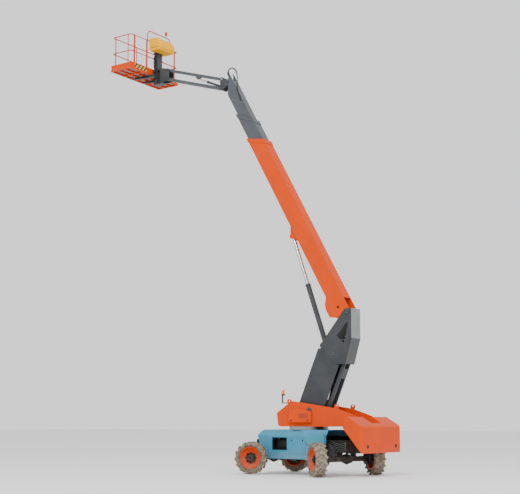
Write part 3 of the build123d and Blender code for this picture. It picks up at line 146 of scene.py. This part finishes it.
def rubber_tyre(name, centre):
    """Dusty tyre: dark in the grooves and on the flank rings, pale with dust on lugs and shoulders."""
    material, tree, shader, coords = new_material(name)
    offset = tree.nodes.new("ShaderNodeVectorMath")
    offset.operation = "SUBTRACT"
    offset.inputs[1].default_value = centre
    tree.links.new(coords, offset.inputs[0])
    length = tree.nodes.new("ShaderNodeVectorMath")
    length.operation = "LENGTH"
    tree.links.new(offset.outputs[0], length.inputs[0])
    radius = length.outputs["Value"]
    rings = calc(tree, "SINE", calc(tree, "MULTIPLY", radius, 2 * pi / RIB_PITCH))
    flank_patch = band(tree, noise(tree, coords, 11.0), 0.3, 0.7)
    flank = mix(tree, flank_patch, (0.06, 0.052, 0.042), (0.20, 0.17, 0.125))
    tread_patch = band(tree, noise(tree, coords, 16.0), 0.35, 0.65)
    tread = mix(tree, tread_patch, (0.12, 0.10, 0.075), (0.36, 0.30, 0.215))
    tree.links.new(mix(tree, band(tree, radius, 0.40, 0.455), flank, tread), shader.inputs["Base Color"])
    tree.links.new(band(tree, noise(tree, coords, 45.0), 0.3, 0.7, 0.78, 0.95), shader.inputs["Roughness"])
    on_flank = band(tree, radius, 0.39, 0.41, 1.0, 0.0)
    height = calc(tree, "ADD", calc(tree, "MULTIPLY", rings, on_flank), noise(tree, coords, 70.0))
    bump(tree, shader, height, 0.35, 0.004)
    return material


def rim_paint(name, centre, out, colour, faded, hub):
    """Rim colour round a dark drive hub, told apart by the distance from the axle."""
    material, tree, shader, coords = new_material(name)
    offset = tree.nodes.new("ShaderNodeVectorMath")
    offset.operation = "SUBTRACT"
    offset.inputs[1].default_value = centre
    tree.links.new(coords, offset.inputs[0])
    away = tree.nodes.new("ShaderNodeVectorMath")
    away.operation = "CROSS_PRODUCT"
    away.inputs[1].default_value = out
    tree.links.new(offset.outputs[0], away.inputs[0])
    radius = tree.nodes.new("ShaderNodeVectorMath")
    radius.operation = "LENGTH"
    tree.links.new(away.outputs[0], radius.inputs[0])
    outside = band(tree, radius.outputs["Value"], HUB_DARK_R - 0.002, HUB_DARK_R + 0.002)
    paint = mix(tree, band(tree, noise(tree, coords, 3.0), 0.35, 0.7), colour, faded)
    low = band(tree, axis_value(tree, coords, "Z"), 0.1, 0.7, 0.6, 0.0)
    dusty = calc(tree, "MULTIPLY", low, band(tree, noise(tree, coords, 9.0), 0.38, 0.68))
    inner_dark = mix(tree, noise(tree, coords, 14.0), hub, tuple(2.0 * c for c in hub))
    tree.links.new(mix(tree, dusty, mix(tree, outside, inner_dark, paint), DUST), shader.inputs["Base Color"])
    tree.links.new(band(tree, noise(tree, coords, 60.0), 0.3, 0.7, 0.38, 0.55), shader.inputs["Roughness"])
    shader.inputs["Specular IOR Level"].default_value = 0.15
    return material


def hazard(name, top, plain, dark, bright):
    """Slanted stripes below a level, plain rail paint above it."""
    material, tree, shader, coords = new_material(name)
    y, z = axis_value(tree, coords, "Y"), axis_value(tree, coords, "Z")
    phase = calc(tree, "MULTIPLY", calc(tree, "ADD", y, z), 2 * pi / STRIPE_PITCH)
    stripes = mix(tree, band(tree, calc(tree, "SINE", phase), -0.04, 0.04), dark, bright)
    patch = band(tree, noise(tree, coords, 4.0), 0.35, 0.7)
    rails = mix(tree, patch, plain, tuple(0.8 * c for c in plain))
    tree.links.new(mix(tree, band(tree, z, top, top + 0.002), stripes, rails), shader.inputs["Base Color"])
    tree.links.new(band(tree, noise(tree, coords, 40.0), 0.3, 0.7, 0.38, 0.55), shader.inputs["Roughness"])
    return material


def grating(name, bar, gap):
    """Open-mesh floor drawn as a grid of bright bars over dark gaps."""
    material, tree, shader, coords = new_material(name)
    lines = []
    for axis in ("X", "Y"):
        wave = calc(tree, "SINE", calc(tree, "MULTIPLY", axis_value(tree, coords, axis), 2 * pi / MESH_PITCH))
        lines.append(band(tree, wave, 0.1, 0.4))
    mesh = calc(tree, "MAXIMUM", lines[0], lines[1])
    dull = mix(tree, band(tree, noise(tree, coords, 6.0), 0.3, 0.7), bar, tuple(0.6 * c for c in bar))
    gap_tone = mix(tree, noise(tree, coords, 12.0), gap, tuple(1.5 * c for c in gap))
    tree.links.new(mix(tree, mesh, gap_tone, dull), shader.inputs["Base Color"])
    tree.links.new(band(tree, mesh, 0.0, 1.0, 0.9, 0.45), shader.inputs["Roughness"])
    shader.inputs["Metallic"].default_value = 0.4
    bump(tree, shader, mesh, 0.5, 0.006)
    return material


def split_level(name, level, low_colour, high_colour, rough):
    """One node in two finishes: one colour below a level and another above it."""
    material, tree, shader, coords = new_material(name)
    above = band(tree, axis_value(tree, coords, "Z"), level - 0.002, level + 0.002)
    patch = band(tree, noise(tree, coords, 5.0), 0.35, 0.7)
    low = mix(tree, patch, low_colour, tuple(0.7 * c for c in low_colour))
    high = mix(tree, patch, high_colour, tuple(0.82 * c for c in high_colour))
    tree.links.new(mix(tree, above, low, high), shader.inputs["Base Color"])
    tree.links.new(band(tree, noise(tree, coords, 50.0), 0.3, 0.7, rough - 0.05, rough + 0.07),
                   shader.inputs["Roughness"])
    return material


def chassis_paint(name, colour, faded):
    """Blue paint outside; near-black painted shade in patchy tones on the shell's inner faces."""
    material, tree, shader, coords = new_material(name)
    aside = calc(tree, "SUBTRACT", calc(tree, "MULTIPLY", axis_value(tree, coords, "Y"), cos(CHASSIS_YAW)),
                 calc(tree, "MULTIPLY", axis_value(tree, coords, "X"), sin(CHASSIS_YAW)))
    beside = band(tree, calc(tree, "ABSOLUTE", aside), SHELL_HALF - 0.004, SHELL_HALF - 0.002)
    above = band(tree, axis_value(tree, coords, "Z"), SHELL_SHOULDER, SHELL_SHOULDER + 0.002)
    along = calc(tree, "ADD", calc(tree, "MULTIPLY", axis_value(tree, coords, "X"), cos(CHASSIS_YAW)),
                 calc(tree, "MULTIPLY", axis_value(tree, coords, "Y"), sin(CHASSIS_YAW)))
    ahead = band(tree, along, SHELL_FRONT, SHELL_FRONT + 0.002)
    outside = calc(tree, "MAXIMUM", beside, calc(tree, "MAXIMUM", above, ahead))
    paint = mix(tree, band(tree, noise(tree, coords, 1.7), 0.35, 0.7), colour, faded)
    # Painted shade: the shell's inner faces are near-black in patchy tones, for the shade inside the shell
    inner_shade_patch = band(tree, noise(tree, coords, 13.0), 0.4, 0.65)
    inner_dark = mix(tree, inner_shade_patch, (0.010, 0.010, 0.011), (0.035, 0.033, 0.03))
    low = band(tree, axis_value(tree, coords, "Z"), 0.35, 0.75, 0.6, 0.0)
    dusty = calc(tree, "MULTIPLY", low, band(tree, noise(tree, coords, 9.0), 0.38, 0.68))
    tree.links.new(mix(tree, dusty, mix(tree, outside, inner_dark, paint), DUST), shader.inputs["Base Color"])
    grain = noise(tree, coords, 60.0)
    tree.links.new(band(tree, grain, 0.3, 0.7, 0.36, 0.5), shader.inputs["Roughness"])
    shader.inputs["Specular IOR Level"].default_value = 0.25
    bump(tree, shader, grain, 0.06, 0.002)
    return material


CHASSIS_YAW = radians(-10.0)
SHELL_HALF = 0.600       # outer half width of the chassis shell
SHELL_SHOULDER = 1.090   # where its sides turn in
SHELL_FRONT = 0.950      # the nose ahead of this is painted all over
RIB_PITCH = 0.016
STRIPE_PITCH = 0.16
MESH_PITCH = 0.05
HUB_DARK_R = 0.135
COVER_SPLIT = 0.72       # height of the rear cover's dark lower part
LENS_H = 0.12            # height of the beacon's lens
ORANGE = (0.66, 0.052, 0.0004)
ORANGE_FADED = (0.58, 0.052, 0.0008)
GREY = (0.030, 0.034, 0.039)
GREY_FADED = (0.048, 0.052, 0.057)
BLACK = (0.008, 0.008, 0.009)
RAIL_RED = (0.52, 0.028, 0.006)

toe_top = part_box("toe_boards")[1][2]
beacon_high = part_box("beacon")[1]
cover_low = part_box("upright_cover")[0]

PAINT = {
    "orange": worn("orange paint", ORANGE, ORANGE_FADED, 0.45, specular=0.1),
    "orange_low": worn("orange paint, dusty", ORANGE, ORANGE_FADED, 0.46, dust_top=0.8, specular=0.1),
    "rail": worn("rail paint", RAIL_RED, (0.44, 0.03, 0.008), 0.42),
    "blue": chassis_paint("chassis paint", (0.040, 0.220, 0.36), (0.055, 0.25, 0.38)),
    # Painted shade: a darker, greener copy of the chassis blue for the arch boxes and panel frames, with real
    # road dust low down
    "blue_painted_shade": worn("blue paint with painted shade", (0.035, 0.23, 0.32), (0.05, 0.26, 0.34), 0.42, dust_top=0.8, coat=0.15),
    "grey": worn("grey paint", GREY, GREY_FADED, 0.42, coat=0.1),
    "boom_grey": worn("boom grey paint", (0.055, 0.062, 0.072), (0.075, 0.082, 0.092), 0.38, coat=0.15),
    "cast": worn("cast iron", (0.016, 0.016, 0.016), (0.04, 0.037, 0.033), 0.7, metallic=0.3, dust_top=0.6),
    "steel": worn("worn steel", (0.32, 0.32, 0.32), (0.2, 0.2, 0.2), 0.38, metallic=0.9),
    "chrome": worn("hard chrome", (0.72, 0.72, 0.73), (0.62, 0.62, 0.64), 0.16, metallic=1.0),
    "hose": worn("hose sleeve", (0.045, 0.045, 0.048), (0.10, 0.10, 0.10), 0.5),
    "yellow": worn("yellow plastic", (0.86, 0.42, 0.0005), (0.78, 0.37, 0.001), 0.45, specular=0.08),
    "black": worn("black rubber", BLACK, (0.03, 0.03, 0.03), 0.6),
    "gate": hazard("gate stripes", toe_top, RAIL_RED, (0.012, 0.012, 0.012), (0.75, 0.42, 0.006)),
    "mesh": grating("floor mesh", (0.36, 0.36, 0.35), (0.12, 0.12, 0.12)),
    "beacon": split_level("beacon", beacon_high[2] - LENS_H, BLACK, (0.8, 0.22, 0.004), 0.22),
    "rear_cover": split_level("rear cover", cover_low[2] + COVER_SPLIT, (0.05, 0.054, 0.058),
                              (0.21, 0.22, 0.225), 0.4),
}
# Node names by finish; wheels, tyres and knuckles follow by station
FINISH = {
    "blue": ("chassis_body",),
    # Arch boxes in the blue copy that carries painted shade
    "blue_painted_shade": ("arch_boxes",),
    "cast": ("chassis_frame", "valve_blocks", "front_axle", "rear_axle", "engine_block"),
    "steel": ("slew_ring",),
    "orange": ("turntable_frame", "left_cover", "engine_hood", "boom_base", "toe_boards", "platform_frame"),
    "orange_low": ("counterweight",),
    "grey": ("lower_arm", "lower_link", "arm_cylinder_barrel", "upright", "lift_cylinder_barrel",
             "level_bracket", "jib_cylinder_barrel", "jib_head_bracket", "platform_support", "console_frame"),
    "boom_grey": ("boom_mid", "boom_fly", "jib_upper", "jib_lower"),
    "chrome": ("arm_cylinder_rod", "lift_cylinder_rod", "jib_cylinder_rod"),
    "rail": ("guard_rails", "rail_posts", "guard_bar"),
    "gate": ("platform_gate",),
    "mesh": ("platform_deck",),
    "yellow": ("console_cover",),
    "black": ("hose_carrier",),
    "beacon": ("beacon",),
    "rear_cover": ("upright_cover",),
}
STATIONS = ("front_left", "front_right", "rear_left", "rear_right")


def finish_node(name, material):
    mesh = NODES[name].data
    mesh.materials.clear()
    mesh.materials.append(material)


for finish, names in FINISH.items():
    for name in names:
        finish_node(name, PAINT[finish])
for station in STATIONS:
    centre = JOINTS[f"{station}_spin"]["pos_m"]
    finish_node(f"{station}_knuckle", PAINT["cast"])
    finish_node(f"{station}_wheel", rim_paint(f"{station} rim", centre, JOINTS[f"{station}_spin"]["axis"],
                                              (0.56, 0.045, 0.001), (0.46, 0.045, 0.003), BLACK))
    finish_node(f"{station}_tyre", rubber_tyre(f"{station} rubber", centre))


# Modelling helpers
def add_mesh(name, verts, faces, material, body):
    mesh = bpy.data.meshes.new(name)
    mesh.from_pydata(verts, [], faces)
    mesh.materials.append(material)
    obj = bpy.data.objects.new(name, mesh)
    bpy.context.scene.collection.objects.link(obj)
    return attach(obj, body)


def prisms(name, places, radius, height, material, body, sides=6, dome=0.85):
    """Bolt heads, caps or discs: each place is a point on the surface and the direction it stands up in."""
    verts, faces = [], []
    for point, normal in places:
        normal = Vector(normal).normalized()
        side = normal.orthogonal().normalized()
        other = normal.cross(side)
        start = len(verts)
        for level, size in ((-0.002, 1.0), (height * 0.8, 1.0), (height, dome)):
            for k in range(sides):
                turn = 2 * pi * k / sides
                rim = side * (cos(turn) * radius * size) + other * (sin(turn) * radius * size)
                verts.append(Vector(point) + rim + normal * level)
        for ring in (0, 1):
            for k in range(sides):
                a = start + ring * sides + k
                b = start + ring * sides + (k + 1) % sides
                faces.append((a, b, b + sides, a + sides))
        faces.append(tuple(start + 2 * sides + k for k in range(sides)))
    return add_mesh(name, verts, faces, material, body)


def boxes(name, places, material, body):
    """Plain blocks: each place is a centre, a size and the X and Y directions of the block."""
    verts, faces = [], []
    for centre, size, x_dir, y_dir in places:
        x, y = Vector(x_dir).normalized(), Vector(y_dir).normalized()
        z = x.cross(y)
        start = len(verts)
        for k in range(8):
            signs = [1 if k >> bit & 1 else -1 for bit in range(3)]
            verts.append(Vector(centre) + x * (signs[0] * size[0] / 2) + y * (signs[1] * size[1] / 2)
                         + z * (signs[2] * size[2] / 2))
        for quad in ((0, 2, 3, 1), (4, 5, 7, 6), (0, 1, 5, 4), (2, 6, 7, 3), (0, 4, 6, 2), (1, 3, 7, 5)):
            faces.append(tuple(start + k for k in quad))
    return add_mesh(name, verts, faces, material, body)


def hose(name, points, radius, material, body):
    """Smooth tube through given points, clipped to one body."""
    curve = bpy.data.curves.new(name, "CURVE")
    curve.dimensions = "3D"
    curve.bevel_depth = radius
    curve.bevel_resolution = 3
    curve.use_fill_caps = True
    spline = curve.splines.new("BEZIER")
    spline.bezier_points.add(len(points) - 1)
    for knot, point in zip(spline.bezier_points, points):
        knot.co = point
        knot.handle_left_type = knot.handle_right_type = "AUTO"
    curve.materials.append(material)
    obj = bpy.data.objects.new(name, curve)
    bpy.context.scene.collection.objects.link(obj)
    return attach(obj, body)


# Wheels: nuts between the disc's slots, a bolted hub cap and a drum behind the slots
NUT_RING_R, NUT_SEAT, CAP_RING_R, CAP_SEAT, SLOTS = 0.150, 0.038, 0.062, 0.125, 8
DRUM_SEAT, DRUM_R = -0.006, 0.215
for station in STATIONS:
    joint = JOINTS[f"{station}_spin"]
    side = 1 if station.endswith("left") else -1
    centre, out = Vector(joint["pos_m"]), Vector(joint["axis"]) * side
    up = Vector((0, 0, 1))
    forward = up.cross(out)
    nuts, caps = [], []
    for k in range(SLOTS):
        turn = 2 * pi * (k + 0.5) / SLOTS
        spoke = up * cos(turn) + forward * sin(turn)
        nuts.append((centre + spoke * NUT_RING_R + out * NUT_SEAT, out))
        caps.append((centre + spoke * CAP_RING_R + out * CAP_SEAT, out))
    prisms(f"{station}_nuts", nuts, 0.015, 0.02, PAINT["black"], f"{station}_wheel")
    prisms(f"{station}_cap_bolts", caps, 0.008, 0.006, PAINT["steel"], f"{station}_wheel")
    prisms(f"{station}_hub_cap", [(centre + out * (CAP_SEAT - 0.001), out)], 0.048, 0.012, PAINT["black"],
           f"{station}_wheel", sides=28)
    prisms(f"{station}_drum", [(centre + out * DRUM_SEAT, out)], DRUM_R, 0.012, PAINT["cast"],
           f"{station}_wheel", sides=32, dome=0.98)


# Pin ends: a cap and four bolts outside each cross pin, or a flat cap where there is little room
CAP_H, FLAT_CAP_H, JIB_CAP_R = 0.010, 0.003, 0.045


def pin_caps(name, joint, face_y, radius, body):
    x, _, z = JOINTS[joint]["pos_m"]
    bolt_ring = radius * 0.62
    bolt_y = face_y + CAP_H - 0.001
    discs, bolts = [], []
    for side in (-1, 1):
        discs.append(((x, side * face_y, z), (0, side, 0)))
        for k in range(4):
            turn = pi / 4 + k * pi / 2
            place = (x + cos(turn) * bolt_ring, side * bolt_y, z + sin(turn) * bolt_ring)
            bolts.append((place, (0, side, 0)))
    prisms(f"{name}_cap", discs, radius, CAP_H, PAINT["grey"], body, sides=24)
    prisms(f"{name}_bolts", bolts, radius * 0.14, 0.010, PAINT["steel"], body)


def half_width(node):
    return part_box(node)[1][1]


NOSE_INSET = 0.020   # the nose ears lie this far inside the fly section's widest pads
cheek_y = 0.465
upright_y = half_width("upright")
bracket_y = half_width("level_bracket")
pin_caps("arm_foot", "lower_arm_lift", cheek_y, 0.085, "turntable")
pin_caps("arm_head", "upright_level", upright_y, 0.075, "upright")
pin_caps("boom_foot", "boom_lift", upright_y, 0.075, "upright")
foot_x, _, foot_z = JOINTS["jib_lift"]["pos_m"]
prisms("jib_foot_cap", [((foot_x, side * bracket_y, foot_z), (0, side, 0)) for side in (-1, 1)], JIB_CAP_R,
       FLAT_CAP_H, PAINT["steel"], "level_bracket", sides=24)
pin_caps("jib_lower_foot", "jib_lower_swing", bracket_y, JIB_CAP_R, "level_bracket")
pin_caps("jib_head", "jib_head_level", bracket_y, JIB_CAP_R, "jib_head")
pin_caps("nose", "platform_level", half_width("boom_fly") - NOSE_INSET, 0.055, "boom_fly")

# Boom: its own directions, bolted wear pads behind its mouth and hoses on the right side
boom_x, _, boom_z = JOINTS["boom_lift"]["pos_m"]
boom_dir = Vector(JOINTS["boom_telescope"]["axis"])
boom_up = Vector((0, 1, 0)).cross(boom_dir) * -1


def on_boom(along, rise, y):
    return Vector((boom_x, y, boom_z)) + boom_dir * along + boom_up * rise


BASE_HALF = 0.198        # half width of the base section
BOOM_HOSE_Y = -0.278     # the side hoses lie half sunk in the hose carrier's outer face
pads = []
for side in (-1, 1):
    for along in (5.76, 5.81):
        for rise in (-0.02, -0.33):
            pads.append((on_boom(along, rise, side * BASE_HALF), (0, side, 0)))
prisms("boom_base_pad_bolts", pads, 0.016, 0.012, PAINT["steel"], "boom_base")
for k in range(4):
    rise = -0.035 * k
    hose(f"boom_hose_{k}", [on_boom(0.35, rise - 0.03, -0.222), on_boom(0.6, rise, BOOM_HOSE_Y),
                            on_boom(3.0, rise, BOOM_HOSE_Y), on_boom(5.8, rise, BOOM_HOSE_Y),
                            on_boom(5.98, rise - 0.02, -0.225)], 0.013, PAINT["black"], "boom_base")

# Nose hoses: a loop that stands off the fly section's top beside its left ear
ear_y = half_width("boom_fly") - NOSE_INSET
for k in range(2):
    y = ear_y + 0.014 + 0.026 * k
    hose(f"nose_hose_{k}", [on_boom(7.76, -0.06, ear_y), on_boom(7.94, -0.01, y), on_boom(8.22, 0.05, y),
                            on_boom(8.50, 0.20 + 0.03 * k, y), on_boom(8.78, 0.24 + 0.03 * k, y),
                            on_boom(8.92, 0.13, y), on_boom(8.86, -0.01, y), on_boom(8.78, -0.06, ear_y)],
         0.011, PAINT["black"], "boom_fly")

# Rotator hoses: a bundle from the platform's post down round its fork
post_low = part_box("platform_support")[0]
post_x = 5.80
for k in range(4):
    y = 0.116 + 0.004 * (k % 2)
    x = post_x + 0.028 * k
    hose(f"post_hose_{k}", [(x, y, post_low[2] + 0.30), (x - 0.02, y + 0.014, post_low[2] + 0.5),
                            (x + 0.01, y + 0.014, post_low[2] + 0.75), (x, y, post_low[2] + 0.98)], 0.011,
         PAINT["black"], "platform")

# Turntable: slewing ring bolts that show beside the floor, louvres, latches and counterweight plugs
RING_R, RING_TOP = 0.53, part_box("slew_ring")[1][2]
ring = []
for k in range(36):
    turn = 2 * pi * k / 36
    if abs(RING_R * sin(turn)) > cheek_y + 0.03:
        ring.append(((RING_R * cos(turn), RING_R * sin(turn), RING_TOP), (0, 0, 1)))
prisms("slewing_ring_bolts", ring, 0.016, 0.014, PAINT["steel"], "turntable")
LOUVRE_PITCH = 0.035
LATCH_R, LATCH_H = 0.022, 0.008
cover_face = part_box("left_cover")[1][1]
boxes("left_cover_louvres", [((-0.16, cover_face, 1.60 + LOUVRE_PITCH * k), (0.30, 0.008, 0.012),
                              (1, 0, 0), (0, 1, 0)) for k in range(4)], PAINT["grey"], "left_cover")
prisms("left_cover_latches", [((x, cover_face, 1.52), (0, 1, 0)) for x in (-0.3, 0.25)], LATCH_R, LATCH_H,
       PAINT["black"], "left_cover", sides=20)
hood_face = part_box("engine_hood")[0][1]
boxes("engine_hood_louvres", [((-0.75, hood_face, 1.53 + LOUVRE_PITCH * k), (0.5, 0.008, 0.012),
                               (1, 0, 0), (0, 1, 0)) for k in range(5)], PAINT["grey"], "engine_hood")
prisms("engine_hood_latches", [((x, hood_face, 1.50), (0, -1, 0)) for x in (-0.35, 0.3)], LATCH_R, LATCH_H,
       PAINT["black"], "engine_hood", sides=20)
weight_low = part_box("counterweight")[0]
prisms("counterweight_plugs", [((weight_low[0] + 0.001, y, 0.82), (-1, 0, 0)) for y in (-0.8, 0.8)],
       0.05, 0.008, PAINT["black"], "turntable", sides=24)

# Chassis: panel frames and latches on its sides, hoses behind the windows and along the frame
chassis_x = Vector((cos(CHASSIS_YAW), sin(CHASSIS_YAW), 0))
chassis_y = Vector((-sin(CHASSIS_YAW), cos(CHASSIS_YAW), 0))


def on_chassis(x, y, z):
    return chassis_x * x + chassis_y * y + Vector((0, 0, z))


FRAME_BAR = 0.014        # width of the panel frames
FRAME_HOSE_Y = 0.324     # hoses lie against the side rails here
panels, latches = [], []
for side in (-1, 1):
    for x0, x1, z0, z1 in ((0.31, 0.88, 0.69, 1.04), (-0.40, 0.22, 0.60, 1.03)):
        face = side * (SHELL_HALF + 0.002)
        for z in (z0 - 0.012, z1 + 0.012):
            size = (x1 - x0 + 0.05, 0.010, FRAME_BAR)
            panels.append((on_chassis((x0 + x1) / 2, face, z), size, chassis_x, chassis_y))
        for x in (x0 - 0.018, x1 + 0.018):
            size = (FRAME_BAR, 0.010, z1 - z0 + 0.01)
            panels.append((on_chassis(x, face, (z0 + z1) / 2), size, chassis_x, chassis_y))
    for x in (-0.30, 0.12):
        latches.append((on_chassis(x, side * SHELL_HALF, 0.96), chassis_y * side))
# The panel frames take the blue copy with painted shade
boxes("chassis_panel_frames", panels, PAINT["blue_painted_shade"], "chassis")
prisms("chassis_latches", latches, LATCH_R, LATCH_H, PAINT["black"], "chassis", sides=20)
for name, side in (("right", -1), ("left", 1)):
    for k in range(4):
        x, y = 0.42 + 0.10 * k, side * 0.462
        hose(f"valve_hose_{name}_{k}", [on_chassis(x, y, 0.80), on_chassis(x + 0.02, y + side * 0.05, 0.74),
                                        on_chassis(x + 0.06, y + side * 0.05, 0.70),
                                        on_chassis(x + 0.1, y, 0.66)], 0.011, PAINT["black"], "chassis")
    fittings = []
    for k in range(5):
        z = 0.68 + 0.045 * k
        y = side * (0.335 + 0.028 * k)
        fittings.append((on_chassis(-0.80, y, z + 0.10), chassis_x * -1))
        hose(f"axle_hose_{name}_{k}", [on_chassis(-0.80, y, z + 0.10),
                                       on_chassis(-1.02, y + side * 0.03, z + 0.02),
                                       on_chassis(-1.25, y + side * 0.05, z - 0.10 + 0.02 * k),
                                       on_chassis(-1.36, y, 0.545)], 0.014, PAINT["hose"], "chassis")
    for k in range(5):
        y = side * FRAME_HOSE_Y
        end = on_chassis(-1.64, y, 0.90 - 0.045 * k)
        fittings.append((end, chassis_x * -1))
        hose(f"frame_hose_{name}_{k}", [on_chassis(-0.95 - 0.03 * k, y, 0.96 - 0.03 * k),
                                        on_chassis(-1.15, y + side * 0.025, 0.95 - 0.05 * k),
                                        on_chassis(-1.42, y + side * 0.025, 0.87 - 0.05 * k), end],
             0.013, PAINT["hose"], "chassis")
    prisms(f"axle_fittings_{name}", fittings, 0.021, 0.05, PAINT["steel"], "chassis")

# Platform: toe-board bolts and the console's seam
toe_low, toe_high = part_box("toe_boards")
bolts = []
for side in (-1, 1):
    for k in range(5):
        x = toe_low[0] + 0.09 + 0.16 * k
        bolts.append(((x, side * toe_high[1], toe_low[2] + 0.10), (0, side, 0)))
for k in range(12):
    bolts.append(((toe_high[0], toe_low[1] + 0.16 + 0.19 * k, toe_low[2] + 0.10), (1, 0, 0)))
prisms("toe_board_bolts", bolts, 0.011, 0.007, PAINT["steel"], "platform")
console_low, console_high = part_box("console_cover")
middle_x = (console_low[0] + console_high[0]) / 2
boxes("console_seam", [((middle_x, side * (console_high[1] + 0.001), console_low[2] + 0.10),
                        (console_high[0] - console_low[0] - 0.14, 0.006, 0.012), (1, 0, 0), (0, 1, 0))
                       for side in (-1, 1)], PAINT["black"], "platform")

# Studio: pale floor and backdrop, soft light from the camera's left and above
FLOOR_HALF = 120.0
floor_mesh = bpy.data.meshes.new("studio floor")
floor_mesh.from_pydata([(-FLOOR_HALF, -FLOOR_HALF, 0), (FLOOR_HALF, -FLOOR_HALF, 0),
                        (FLOOR_HALF, FLOOR_HALF, 0), (-FLOOR_HALF, FLOOR_HALF, 0)], [], [(0, 1, 2, 3)])
floor_mesh.materials.append(worn("studio floor", (0.86, 0.86, 0.86), (0.88, 0.88, 0.88), 0.8))
floor = bpy.data.objects.new("studio floor", floor_mesh)
bpy.context.scene.collection.objects.link(floor)

world = bpy.data.worlds.new("studio")
world.use_nodes = True
world.node_tree.nodes["Background"].inputs["Color"].default_value = (1.0, 1.0, 1.0, 1.0)
world.node_tree.nodes["Background"].inputs["Strength"].default_value = 1.25
bpy.context.scene.world = world


def area_light(name, place, target, size, power):
    light = bpy.data.lights.new(name, "AREA")
    light.size = size
    light.energy = power
    obj = bpy.data.objects.new(name, light)
    obj.location = place
    obj.rotation_euler = (Vector(target) - Vector(place)).to_track_quat("-Z", "Y").to_euler()
    bpy.context.scene.collection.objects.link(obj)


area_light("key", (-6.0, 22.0, 24.0), (1.0, 0.0, 6.0), 12.0, 5500.0)
area_light("fill", (-22.0, 4.0, 14.0), (0.0, 0.0, 5.0), 12.0, 1500.0)

# Camera as in the photograph, looking slightly up from eye height
CAMERA_PLACE = (-17.470, 27.758, 1.530)
CAMERA_YAW, CAMERA_PITCH = radians(-55.362), radians(8.726)
PHOTO_W, FOCAL_PX, SENSOR = 520.0, 1128.0, 36.0
camera_data = bpy.data.cameras.new("camera")
camera_data.sensor_width = SENSOR
camera_data.lens = FOCAL_PX / PHOTO_W * SENSOR
camera = bpy.data.objects.new("camera", camera_data)
gaze = Vector((cos(CAMERA_YAW) * cos(CAMERA_PITCH), sin(CAMERA_YAW) * cos(CAMERA_PITCH), sin(CAMERA_PITCH)))
camera.location = CAMERA_PLACE
camera.rotation_euler = gaze.to_track_quat("-Z", "Y").to_euler()
bpy.context.scene.collection.objects.link(camera)
bpy.context.scene.camera = camera
